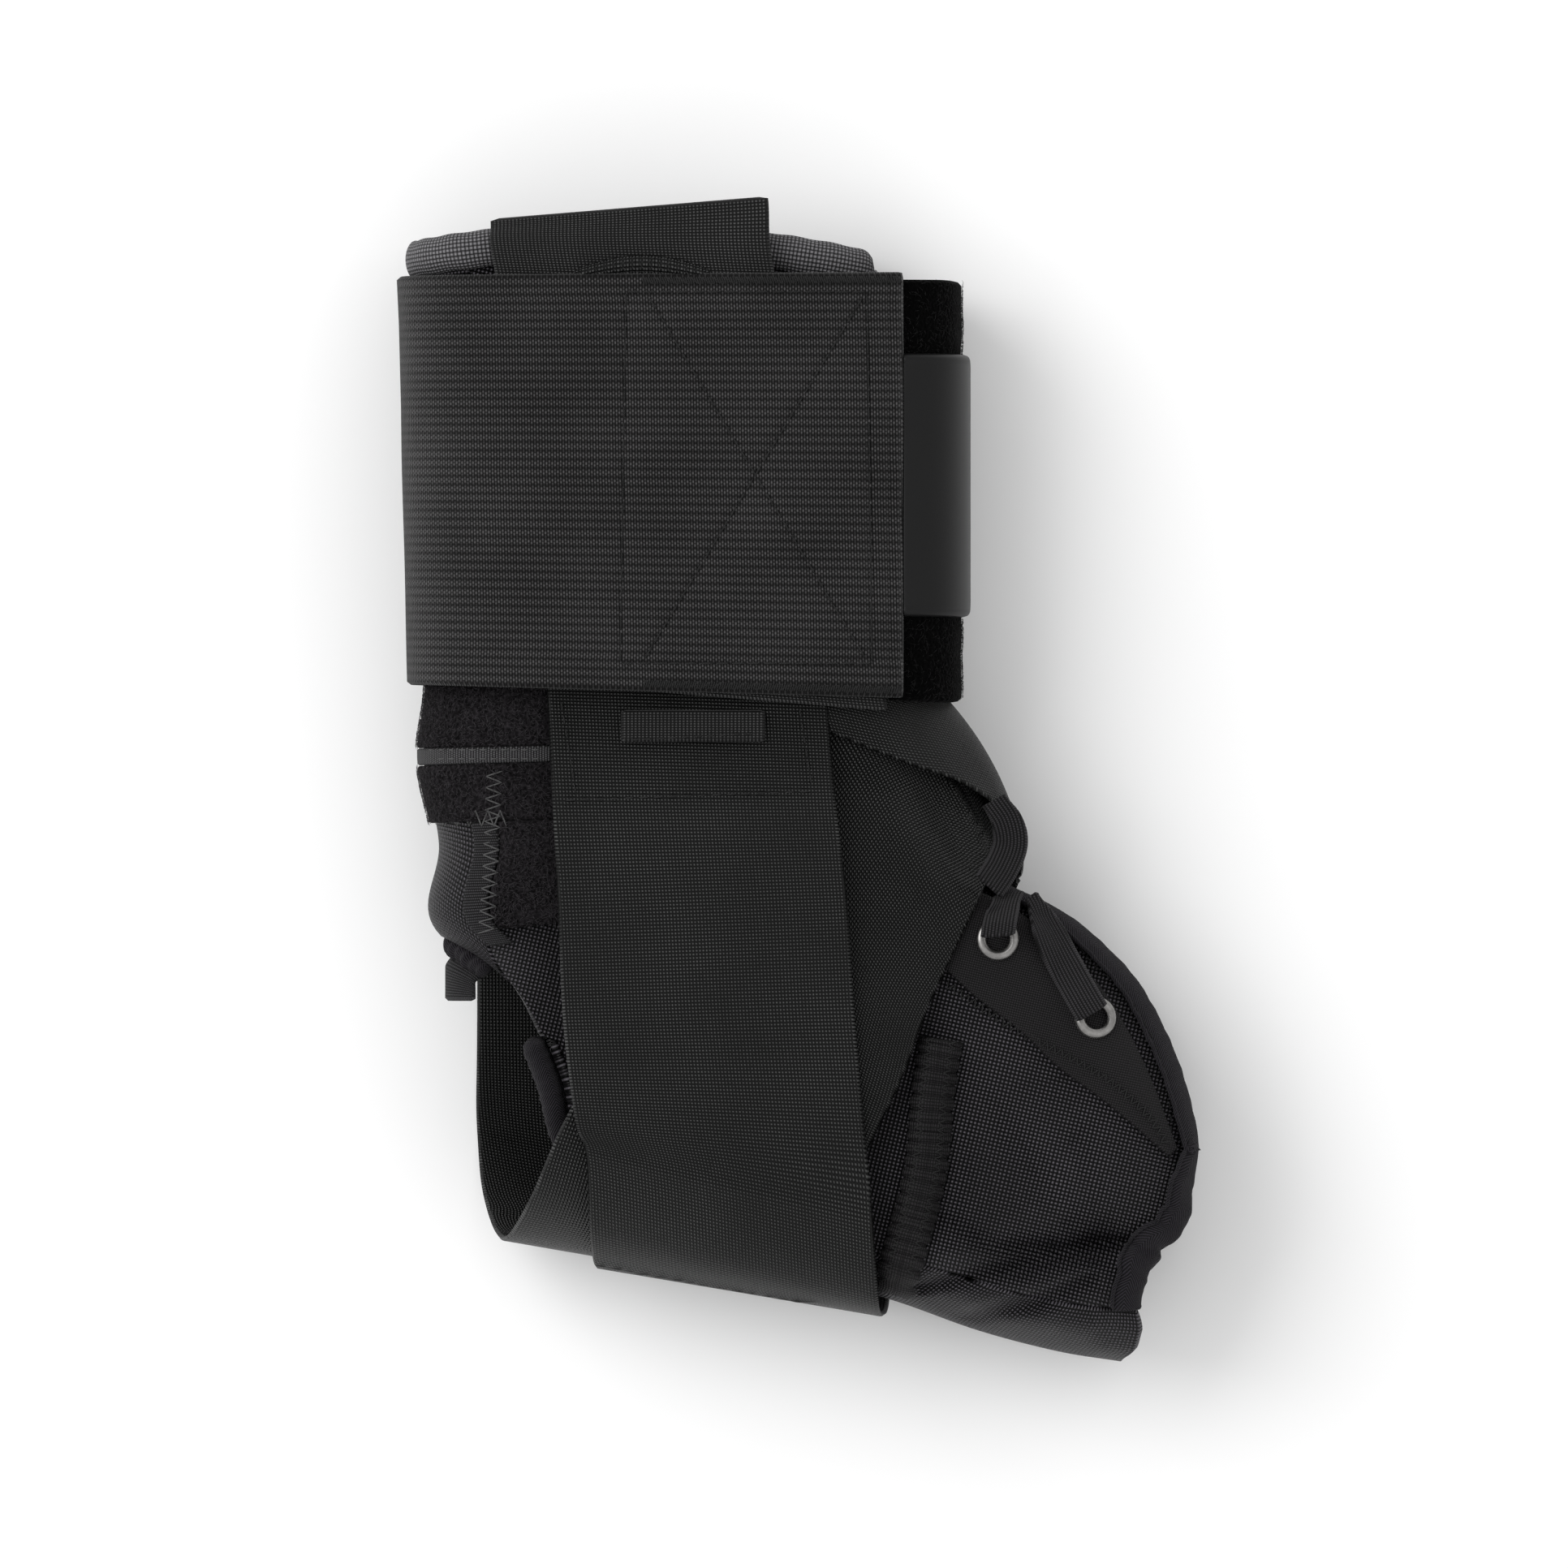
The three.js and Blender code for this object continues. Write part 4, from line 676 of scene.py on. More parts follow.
def roll(name, path, radius, sides, finish, nodes, ruffle, up=(0, 0, 1.0), flatten=1.0):
    """A rolled cord along a path, with rounded ends; ruffle varies its radius along and around"""
    count = len(path)
    across, upward = frames_along(path, np.array(up, float))
    lengths = lengths_along(path)
    angle = np.linspace(0, 2 * math.pi, sides, endpoint=False)
    scale = np.broadcast_to(radius, (count, sides)) + ruffle(lengths[:, None], angle[None, :])
    fade = np.minimum(lengths, lengths[-1] - lengths) / radius
    scale *= np.sqrt(np.clip(1 - (1 - np.clip(fade, 0.02, 1)) ** 2, 0, 1))[:, None]
    points = path[:, None] + (scale * np.cos(angle))[..., None] * across[:, None]
    points = points + (flatten * scale * np.sin(angle))[..., None] * upward[:, None]
    at = np.arange(count * sides).reshape(count, sides)
    turned = np.roll(at, -1, 1)
    faces = quads(at[:-1], turned[:-1], turned[1:], at[1:]).tolist()
    faces += [at[0, ::-1].tolist(), at[-1].tolist()]
    uvs = joined(angle[None, :] * radius, lengths[:, None]).reshape(-1, 2)
    mesh_piece(name, points.reshape(-1, 3), faces, uvs, finish, nodes)


def threads(name, starts, ends, ups, radius, arch, finish, rings=5, sides=5, taper=0.75):
    """Many short threads in one mesh: each rises out of the cloth, arches and goes in again"""
    starts, ends = np.asarray(starts, float), np.asarray(ends, float)
    ups = np.broadcast_to(np.asarray(ups, float), starts.shape)
    tangent = unit(ends - starts)
    across = unit(np.cross(tangent, ups))
    upward = unit(np.cross(across, tangent))
    s = np.linspace(0, 1, rings)
    angle = np.linspace(0, 2 * math.pi, sides, endpoint=False)
    centre = mix(starts[:, None], ends[:, None], s[None, :, None])
    centre = centre + upward[:, None] * (arch * np.sin(s * math.pi))[None, :, None]
    swell = radius * (1 - taper * np.abs(2 * s - 1) ** 3)
    circle = np.cos(angle)[:, None] * across[:, None, None] + np.sin(angle)[:, None] * upward[:, None, None]
    points = centre[:, :, None] + circle * swell[None, :, None, None]
    number = len(starts)
    at = np.arange(number * rings * sides).reshape(number, rings, sides)
    turned = np.roll(at, -1, 2)
    faces = quads(at[:, :-1], turned[:, :-1], turned[:, 1:], at[:, 1:]).tolist()
    faces += at[:, 0, ::-1].tolist() + at[:, -1].tolist()
    lengths = np.linalg.norm(ends - starts, axis=-1)[:, None, None] * s[None, :, None]
    uvs = joined(angle[None, None, :] * radius, lengths).reshape(-1, 2)
    mesh_piece(name, points.reshape(-1, 3), faces, uvs, finish, [])


def cut_line(line, length, gap):
    """Starts and ends of stitches along a line in plan"""
    line = np.asarray(line, float)
    total = np.linalg.norm(np.diff(line, axis=0), axis=1).sum()
    at = lengths_along(line)
    count = max(1, int(round((total + gap) / (length + gap))))
    pitch = total / count
    space = 0.5 * gap / (length + gap)
    places = np.arange(count) * pitch
    return points_at(line, at, places + pitch * space), points_at(line, at, places + pitch * (1 - space))


def zigzag_line(line, width, pitch):
    """A zigzag along a line in plan"""
    line = spline(line, max(3, int(2 * np.linalg.norm(np.diff(line, axis=0), axis=1).sum() / pitch)))
    tangent = unit(np.gradient(line, axis=0))
    sideways = np.stack([-tangent[:, 1], tangent[:, 0]], -1)
    swing = np.where(np.arange(len(line)) % 2 == 0, 0.5, -0.5)[:, None]
    corners = line + sideways * swing * width
    return corners[:-1], corners[1:]


def on_relief(relief, plan, lift):
    """Points on top of the layers, from places in plan"""
    return joined(*plan.T, relief.side * (relief.at(*plan.T) + lift))


# Materials: patterns read lengths in millimetres from each piece's UV map
SHEEN_ROUGHNESS = 0.35
THREAD_GRAIN = 2600.0      # scale of the finest unevenness of colour


class Pattern:
    def __init__(self, name, roughness, sheen=0.0, metallic=0.0, specular=0.12):
        self.material = bpy.data.materials.new(name)
        self.material.use_nodes = True
        self.tree = self.material.node_tree
        self.shader = self.tree.nodes["Principled BSDF"]
        for socket, value in (("Roughness", roughness), ("Metallic", metallic), ("Sheen Weight", sheen),
                              ("Sheen Roughness", SHEEN_ROUGHNESS), ("Specular IOR Level", specular)):
            self.shader.inputs[socket].default_value = value
        self.uv = self.node("ShaderNodeUVMap", uv_map="UVMap").outputs["UV"]
        self.place = self.node("ShaderNodeTexCoord").outputs["Object"]
        split = self.node("ShaderNodeSeparateXYZ")
        self.link(self.uv, split.inputs[0])
        self.u, self.v = split.outputs["X"], split.outputs["Y"]

    def node(self, kind, **settings):
        node = self.tree.nodes.new(kind)
        for key, value in settings.items():
            setattr(node, key, value)
        return node

    def link(self, source, socket):
        if isinstance(source, (int, float)):
            socket.default_value = source
        else:
            self.tree.links.new(source, socket)

    def math(self, operation, *values):
        node = self.node("ShaderNodeMath", operation=operation)
        for value, socket in zip(values, node.inputs):
            self.link(value, socket)
        return node.outputs[0]

    def arch(self, value, pitch, offset=0.0):
        """0 at the edges of each thread and 1 in its middle"""
        turned = self.math("MULTIPLY_ADD", value, math.pi / pitch, offset)
        return self.math("ABSOLUTE", self.math("SINE", turned))

    def parity(self, u_pitch, v_pitch):
        cell = self.math("ADD", self.math("FLOOR", self.math("DIVIDE", self.u, u_pitch)),
                         self.math("FLOOR", self.math("DIVIDE", self.v, v_pitch)))
        return self.math("FLOORED_MODULO", cell, 2.0)

    def choose(self, factor, low, high):
        return self.math("MULTIPLY_ADD", factor, self.math("SUBTRACT", high, low), low)

    def noise(self, scale, detail=3.0, space=None):
        node = self.node("ShaderNodeTexNoise")
        node.inputs["Scale"].default_value = scale
        node.inputs["Detail"].default_value = detail
        self.link(self.place if space is None else space, node.inputs["Vector"])
        return node.outputs["Fac"]

    def colour(self, height, dark, light, variation=0.25, patch=60.0, contrast=2.2):
        """Dark between the threads and light on them, a little uneven over the cloth"""
        ramp = self.node("ShaderNodeMix", data_type="RGBA")
        uneven = self.math("MULTIPLY_ADD", self.noise(patch), variation, -variation / 2)
        grain = self.math("MULTIPLY_ADD", self.noise(THREAD_GRAIN, 1.0), variation, -variation / 2)
        level = self.math("MAXIMUM", self.math("ADD", self.math("ADD", height, uneven), grain), 0.0)
        self.link(self.math("POWER", level, contrast), ramp.inputs["Factor"])
        ramp.clamp_factor = True
        ramp.inputs["A"].default_value = (*dark, 1)
        ramp.inputs["B"].default_value = (*light, 1)
        self.link(ramp.outputs["Result"], self.shader.inputs["Base Color"])

    def bump(self, height, distance, strength=1.0):
        node = self.node("ShaderNodeBump")
        node.inputs["Strength"].default_value = strength
        node.inputs["Distance"].default_value = distance / 1000
        self.link(height, node.inputs["Height"])
        self.link(node.outputs["Normal"], self.shader.inputs["Normal"])
        return self.material


def weave(name, pitch_u, pitch_v, dark, light, roughness=0.62, sheen=0.05, depth=0.3, lengthways=0.5,
          contrast=3.2, specular=0.2):
    """Plain weave of over-and-under threads"""
    p = Pattern(name, roughness, sheen, 0.0, specular)
    over = p.parity(pitch_u, pitch_v)
    crown_u, crown_v = p.arch(p.u, pitch_u), p.arch(p.v, pitch_v)

    def thread(crown, dip):
        dipped = p.math("MULTIPLY_ADD", dip, lengthways, 1 - lengthways)
        return p.math("MULTIPLY", p.math("POWER", crown, 0.6), dipped)

    height = p.choose(over, thread(crown_u, crown_v), thread(crown_v, crown_u))
    p.colour(height, dark, light, contrast=contrast)
    return p.bump(height, depth)


def twill(name, pitch, dark, light, roughness=0.75, sheen=0.04, depth=0.2, herringbone=4.0):
    """Diagonal ribs that turn back at every herringbone stripe"""
    p = Pattern(name, roughness, sheen)
    fold = p.math("PINGPONG", p.u, herringbone)
    ribs = p.arch(p.math("ADD", p.v, fold), pitch)
    fine = p.arch(p.math("SUBTRACT", p.v, fold), pitch * 0.5)
    height = p.math("MULTIPLY_ADD", fine, 0.25, p.math("MULTIPLY", ribs, 0.75))
    p.colour(height, dark, light)
    return p.bump(height, depth)


def ribbed(name, rib, stitch, dark, light, roughness=0.75, sheen=0.04, depth=0.2, upright=False,
           contrast=2.2, course=None):
    """Ribs along u, or along v where upright, of stitches set off against their neighbours"""
    p = Pattern(name, roughness, sheen)
    across, along = (p.u, p.v) if upright else (p.v, p.u)
    ribs = p.arch(across, rib)
    row = p.math("FLOOR", p.math("DIVIDE", across, rib))
    shifted = p.math("MULTIPLY_ADD", p.math("FLOORED_MODULO", row, 2.0), stitch / 2, along)
    knots = p.arch(shifted, stitch)
    height = p.math("MULTIPLY", p.math("POWER", ribs, 0.7), p.math("MULTIPLY_ADD", knots, 0.5, 0.5))
    if course:
        height = p.math("MULTIPLY", height, p.math("MULTIPLY_ADD", p.arch(along, course), 0.5, 0.62))
    p.colour(height, dark, light, contrast=contrast)
    return p.bump(height, depth)


def pile(name, dark, light, scale=1500.0, depth=0.5):
    """Loop pile: a felt of tiny curls"""
    p = Pattern(name, 0.95, 0.02, 0.0, 0.03)
    curls = p.node("ShaderNodeTexVoronoi")
    curls.inputs["Scale"].default_value = scale
    p.link(p.place, curls.inputs["Vector"])
    felt = p.noise(scale * 1.3, 4.0)
    height = p.math("MULTIPLY_ADD", felt, 0.6, p.math("MULTIPLY", curls.outputs["Distance"], 0.6))
    p.colour(height, dark, light, 0.4, 90.0)
    return p.bump(height, depth)


def rubber_finish(name):
    p = Pattern(name, 0.45, 0.0, 0.0, 0.2)
    grain = p.noise(5200.0, 2.0)
    p.colour(grain, (0.003, 0.003, 0.0032), (0.006, 0.006, 0.0062), 0.3, 40.0)
    return p.bump(grain, 0.03, 0.5)


def metal_finish(name):
    p = Pattern(name, 0.34, 0.0, 1.0, 0.5)
    wear = p.noise(900.0, 5.0)
    p.colour(wear, (0.2, 0.195, 0.19), (0.42, 0.41, 0.4), 0.3, 300.0)
    return p.bump(wear, 0.01, 0.4)


def thread_finish(name, dark, light, roughness=0.6):
    p = Pattern(name, roughness, 0.05)
    twist = p.arch(p.math("ADD", p.v, p.u), 0.22)
    p.colour(twist, dark, light)
    return p.bump(twist, 0.06)


def grey(level):
    return (level, level, level)


WEBBING_LOOK = dict(sheen=0.0, depth=0.4, lengthways=0.9, contrast=4.6, specular=0.24)
MESH = weave("basket_mesh", 0.75, 0.72, (0.0002, 0.0002, 0.0003), (0.085, 0.079, 0.09),
             roughness=0.45, sheen=0.0, depth=0.5, contrast=5.5)
FINE_MESH = weave("fine_mesh", 0.44, 0.44, (0.0006, 0.0005, 0.0006), (0.017, 0.015, 0.017),
                  roughness=0.6, sheen=0.01, depth=0.2)
# Painted light: the rim's basket mesh is a lighter copy of the mesh, standing for the light it catches at a
# grazing angle from the upper left
LIT_RIM_MESH = weave("rim_mesh_painted_light", 0.78, 0.7, (0.002, 0.002, 0.0024), (0.2, 0.195, 0.205),
                 depth=0.35, contrast=2.2)
WEBBING_CLOTH = weave("strap_webbing", 0.62, 0.66, (0.0003, 0.0004, 0.0003), (0.062, 0.063, 0.062),
                      roughness=0.45, **WEBBING_LOOK)
# Painted shade: the cross strap's webbing is a darker copy of the strap webbing, standing for the shade
# where the strap turns away from the light
SHADED_CROSS_CLOTH = weave("cross_webbing_painted_shade", 0.62, 0.66, (0.0003, 0.0004, 0.0003), (0.055, 0.056, 0.055),
                    roughness=0.36, **WEBBING_LOOK)
HOOK_TAPE = weave("hook_tape", 0.68, 0.5, grey(0.0006), grey(0.075), lengthways=1.0, contrast=3.4)
ELASTIC_CLOTH = ribbed("elastic_rib", 0.52, 0.78, (0.0008, 0.0007, 0.0007), (0.074, 0.072, 0.073),
                       sheen=0.12, depth=0.3, upright=True, course=1.6, contrast=2.8)
TWILL = twill("binding_twill", 0.55, (0.001, 0.0009, 0.0013), (0.03, 0.027, 0.033), depth=0.3)
LACE_CLOTH = ribbed("lace_weave", 0.62, 0.42, grey(0.001), (0.04, 0.038, 0.041), depth=0.3, upright=True)
GROSGRAIN = ribbed("grey_grosgrain", 0.5, 0.4, grey(0.005), (0.1, 0.098, 0.102), upright=True)
BLACK_GROSGRAIN = ribbed("black_grosgrain", 0.5, 0.4, grey(0.001), (0.05, 0.049, 0.052), depth=0.3)
PILE_CLOTH = pile("loop_pile", grey(0.0002), (0.0022, 0.0021, 0.0022))
PILE_BAND = pile("band_pile", grey(0.0006), (0.026, 0.0235, 0.026))
RUBBER = rubber_finish("label_rubber")
NICKEL = metal_finish("nickel")
THREAD = thread_finish("thread", grey(0.002), grey(0.035))
GREY_THREAD = thread_finish("grey_thread", grey(0.01), grey(0.16))
FIBRE = thread_finish("pile_fibre", grey(0.0006), (0.011, 0.0105, 0.011), 0.9)
BAND_FIBRE = thread_finish("band_fibre", (0.004, 0.0037, 0.004), (0.075, 0.069, 0.076), 0.8)

# Creases (depth above zero) and puffs of the foot: half width and depth in millimetres, then
# the line as places in the photo's pixels.
FOOT_FOLDS = [
    (1.2, 2.4, [(1135, 1585), (1250, 1562), (1345, 1530), (1390, 1530)]),
    (1.4, 1.6, [(1190, 1622), (1290, 1602), (1345, 1575)]),
    (1.3, 1.4, [(1165, 1500), (1225, 1538), (1300, 1535)]),
    (2.4, 0.7, [(1215, 1360), (1270, 1440), (1320, 1500)]),
    (2.0, 0.7, [(1330, 1395), (1345, 1460), (1325, 1510)]),
    (2.2, -1.0, [(1160, 1540), (1240, 1540)]),
    (2.0, -1.2, [(1255, 1590), (1340, 1560)]),
    (3.2, -0.5, [(1275, 1395), (1330, 1450)]),
    (2.0, -0.6, [(1200, 1600), (1260, 1583)]),
    (2.2, 1.1, [(1150, 1606), (1235, 1640), (1330, 1662)]),
    (2.6, -0.9, [(1240, 1622), (1340, 1632)]),
]
FOLD_FADE = 5              # height above the middle over which the folds come in

# Unevenness of the cloths: rise, length of its waves, and seed
QUARTER_WAVES = (0.22, 16, 3)
STRAP_WAVES = (0.18, 22, 5)
ELASTIC_WAVES = (0.25, 30, 9)
PILE_WAVES = (0.2, 9, 21)
HOOK_WAVES = (0.15, 18, 31)


# Bootie panels
def press_folds(grid):
    """Presses the folds into the upper side of a panel"""
    upper = ease((grid[..., 2] - MIDDLE) / FOLD_FADE)
    for width, depth, pixels in FOOT_FOLDS:
        line = photo(pixels)
        grid[..., 2] -= groove(grid[..., 0], grid[..., 1], zip(line[:-1], line[1:]), width) * depth * upper


def plan_uv(grid):
    """Lengths in plan, turned to the slant of the mesh"""
    turn = math.radians(WEAVE_TURN)
    x, y = grid[..., 0], grid[..., 1]
    return joined(x * math.cos(turn) + y * math.sin(turn), y * math.cos(turn) - x * math.sin(turn))


def panel(name, node, places, waves=None, creased=False, slanted=False):
    grid = folded_point(*places)
    if waves:
        grid[..., 2] += ripple(grid[..., 0], grid[..., 1], *waves)
    if creased:
        press_folds(grid)
    uv = plan_uv(grid) if slanted else None
    cloth(name, grid, -FABRIC, 0, MESH, [node], body_normal(*places), uv)
    return grid


near_places = quarter_places(1, np.linspace(0, LAST_RIB, 129), wide=72, narrow=22)
far_places = quarter_places(-1, np.linspace(0, LAST_RIB, 97), wide=50, narrow=18)
back_places = fold_places(np.linspace(0, BACK_HEM_SEAM, 91), 40, slant=hem_slant)
sole_places = fold_places(np.linspace(SOLE_PANEL_START, LAST_RIB, 49), 40,
                          slant=lambda rib, share: 0 * share)
near_grid = panel("quarter_near", "near_quarter", near_places, QUARTER_WAVES, creased=True, slanted=True)
far_grid = panel("quarter_far", "far_quarter", far_places, slanted=True)
back_grid = panel("panel_back", "back_panel", back_places)
sole_grid = panel("panel_sole", "sole_panel", sole_places, creased=True)
near = Relief(1).stamp(near_grid).stamp(back_grid).stamp(sole_grid)
far = Relief(-1).stamp(far_grid).stamp(back_grid).stamp(sole_grid)
SIDES = ((1, near, "near"), (-1, far, "far"))


def over_body(places):
    """A layer that lies on the bootie, and its normals"""
    normals = body_normal(*places)
    return folded_point(*places) + normals * CLEAR, normals


def stamp_both(grid, lift):
    near.stamp(grid, lift)
    far.stamp(grid, lift)


# Eyelet stays over the front of both quarters
for side, relief, name in SIDES:
    grid, normals = over_body(facing_places(side, along=96, across=24))
    cloth(f"stay_{name}", grid, 0, FACING, FINE_MESH, [f"{name}_eyestay"], normals, plan_uv(grid))
    relief.stamp(grid, FACING)


# Eyelets: a barrel with a rolled lip outside and a washer inside
def lathe(name, profile, centre, normal, node, sides=48):
    across = unit(np.cross(normal, [0.3, 1, 0.2]))
    other = np.cross(normal, across)
    angle = np.linspace(0, 2 * math.pi, sides, endpoint=False)
    radius, height = np.array(profile).T
    circle = np.cos(angle)[:, None] * across + np.sin(angle)[:, None] * other
    points = centre + radius[:, None, None] * circle + height[:, None, None] * normal
    at = np.arange(len(profile) * sides).reshape(-1, sides)
    turned, after = np.roll(at, -1, 1), np.roll(at, -1, 0)
    faces = quads(at, turned, np.roll(turned, -1, 0), after)
    uvs = joined(angle[None, :] * 3, height[:, None]).reshape(-1, 2)
    mesh_piece(name, points.reshape(-1, 3), faces, uvs, NICKEL, [node])


def eyelet_profile():
    hole, lip = EYELET_HOLE / 2, EYELET_OUTER / 2
    barrel = hole + EYELET_WALL
    washer = mix(barrel, lip, 0.45)
    bottom = -(FACING + CLEAR + FABRIC) - EYELET_RELIEF
    top = CLEAR * 0.4
    bend = [(mix(hole, lip, 0.5 - 0.5 * math.cos(turn)), top + (EYELET_LIP + 0.1) * math.sin(turn))
            for turn in np.linspace(math.pi, 0, 14)]
    inside = [(washer, bottom), (washer, bottom + EYELET_WALL), (barrel, bottom + EYELET_WALL)]
    return inside + [(barrel, top - 0.1), (lip, top - 0.1)] + bend[::-1] + [(hole, bottom)]


def seat_on(relief, x, y, reach=2):
    """A place on top of the layers, and the normal there"""
    def level(dx, dy):
        return relief.side * float(relief.at(np.array([x + dx]), np.array([y + dy]))[0])

    fall_x = -(level(reach, 0) - level(-reach, 0)) / (2 * reach)
    fall_y = -(level(0, reach) - level(0, -reach)) / (2 * reach)
    return np.array([x, y, level(0, 0)]), unit(np.array([fall_x, fall_y, 1.0])) * relief.side


for side, relief, name in SIDES:
    soft = relief.softened(0, 3)
    for k in range(len(EYELETS["x"])):
        centre, normal = seat_on(soft, *plan_of(EYELETS)[k])
        lathe(f"eyelet_{name}_{k + 1}", eyelet_profile(), centre, normal, f"{name}_eyelet_{k + 1}")


# Folded binding round the front edge and the toe
def edge_binding(name, places, relief, node):
    side = relief.side
    grid, normals = folded_point(*places), body_normal(*places)
    first, last = int(np.argmax(places[0][:, 0] >= BINDING_START)), len(grid) - 1
    route = [(i, grid.shape[1] - 1) for i in range(first, last + 1)]
    route += [(last, j) for j in range(grid.shape[1] - 2, -1, -1)]
    route = tuple(np.array(route).T)
    points, normal = smoothed(grid[route], 6), normals[route]
    inward = side * unit(np.cross(unit(np.gradient(points, axis=0)), normal))
    probe = points + inward * BINDING_WIDTH
    probe[:, 2] = side * relief.at(probe[:, 0], probe[:, 1])
    inward = unit(probe - points)
    for _ in range(10):
        inward[1:-1] = unit(inward[:-2] + inward[1:-1] + inward[2:])
    normal = unit(normal - inward * (normal * inward).sum(-1, keepdims=True))
    outside = CLEAR + BINDING
    half_width = BINDING_WIDTH * 0.5
    section = spline([[BINDING_WIDTH, outside], [half_width, outside + CLEAR], [0, outside], [-outside, 0],
                      [-outside, -FABRIC], [0, -FABRIC - outside], [half_width, -FABRIC - outside - CLEAR],
                      [BINDING_WIDTH, -FABRIC - outside]], 26)
    reach, height = section[None, :, 0], section[None, :, 1]
    lengths = lengths_along(points)[:, None]
    pucker = 0.18 * wave(lengths, 5.5) + 0.1 * wave(lengths, 3.1)
    swollen = reach + pucker * (np.abs(height) > CLEAR)
    band = points[:, None] + swollen[..., None] * inward[:, None]
    band = band + (height + 0.5 * pucker)[..., None] * normal[:, None]
    band_normals = grid_normals(band)
    middle, wall = len(inward) // 2, BINDING * 0.9
    low, high = (-wall, 0) if -inward[middle] @ band_normals[middle, 13] > 0 else (0, wall)
    cloth(name, band, low, high, TWILL, [node], band_normals, joined(reach + height, lengths))
    relief.stamp(band[:, :9])
    return band


edge_bands = [edge_binding("binding_near", near_places, near, "near_edge_binding"),
              edge_binding("binding_far", far_places, far, "far_edge_binding")]
for (side, relief, name), band in zip(SIDES, edge_bands):
    roll(f"seam_line_{name}", band[:, 0] + np.array([0, 0, side * 0.15]), 0.4, 10, TWILL, [],
         ruffle=lambda s, a: 0.05 * wave(s, 1.3))

# Trims over the back seam: ribs from and to, places round the body from and to, rows and columns,
# cloth, node and slot.
TRIMS = [
    ("pile_upper", (3.1, 3.86), (-0.24, 0.33), (12, 48), PILE_BAND, "pile_band_upper", "pile"),
    ("grosgrain_row", (3.9, 4.06), (-0.24, 0.33), (12, 48), GROSGRAIN, "grosgrain_edge", "grosgrain"),
    ("pile_lower", (4.1, 4.72), (-0.24, 0.34), (12, 48), PILE_BAND, "pile_band_lower", "pile"),
    ("pile_upright", (4.76, 6.1), (0.215, 0.34), (40, 16), PILE_BAND, "pile_strip", "pile"),
    ("grosgrain_upright", (4.76, 6.3), (0.165, 0.208), (40, 8), BLACK_GROSGRAIN, "grosgrain_strip",
     "binding"),
]
pile_bands = []
for name, ribs, arounds, (rows, columns), finish, node, slot in TRIMS:
    grid, normals = over_body((np.linspace(*ribs, rows)[:, None], np.linspace(*arounds, columns)[None, :]))
    cloth(name, grid, 0, TRIM, finish, [node], normals)
    stamp_both(grid, TRIM)
    if finish == PILE_BAND:
        pile_bands.append(grid)

# Rolled piping along both sides of the heel opening
for side, relief, name in SIDES:
    rib = np.linspace(HEEL_START, HEEL_END, 70)
    start = seam_share(rib, OPEN_SEAM)
    edge = body_point(rib, side * start)
    away = unit(edge - body_point(rib, side * (start + 0.03))) * (PIPING_RADIUS + CLEAR)
    away[:, 2] -= side * FABRIC / 2
    roll(f"piping_{name}", edge + away, PIPING_RADIUS, 28, TWILL, [f"{name}_heel_piping"],
         ruffle=lambda s, a: 0.12 * wave(s, 2.2, a) - 0.1 * np.clip(np.cos(a - 1.2), 0, 1) ** 6)
    relief.stamp((edge + away)[:, None] + np.array([[0, 0, side * PIPING_RADIUS]] * 2))


# Gathered binding along the back panel's slanting hem
def hem_places(share):
    rib = BACK_HEM_SEAM - hem_slant(BACK_HEM_SEAM, share)
    return rib, share * (seam_share(rib, CLOSING_SEAM) - SEAM_GAP)


def hem_point(share):
    """Middle of the binding, just below the hem"""
    place = body_point(*hem_places(share))
    normal = body_normal(*hem_places(share))
    tangent = body_point(*hem_places(share + 0.05)) - body_point(*hem_places(share - 0.05))
    return place - unit(np.cross(normal, tangent)) * (PIPING_RADIUS + 2 * CLEAR) - normal * FABRIC / 2


roll("hem_gathered", hem_point(np.linspace(-0.8, 0.8, 90)), PIPING_RADIUS, 30, TWILL, ["heel_binding"],
     ruffle=lambda s, a: 0.3 * wave(s, 1.9, 0.9 * np.sin(a * 2)) + 0.2 * np.sin(s * 1.3 + a))


# Bound rim round the leg opening
def rim_path(around):
    edge = body_point(0.0, around)
    up = edge - body_point(0.15, around)
    up[:, 2] = 0
    inwards = np.zeros_like(edge)
    inwards[:, 2] = np.sign(MIDDLE - edge[:, 2]) * FABRIC / 2 * ease((np.abs(around) - FOLD_SHARE) / 0.05)
    return edge + unit(up) * (RIM_THICKNESS + CLEAR - RIM_REACH) + inwards


around = np.concatenate([np.linspace(*ends, 80) for ends in ((-0.99, -0.3), (-0.29, 0.29), (0.3, 0.99))])
# The rim uses the copy of the basket mesh lightened with painted light
roll("rim_bound", smoothed(rim_path(around), 4), RIM_REACH, 40, LIT_RIM_MESH, ["top_rim"],
     up=body_normal(np.zeros_like(around), around), flatten=0.55, ruffle=lambda s, a: 0.09 * wave(s, 7, a))

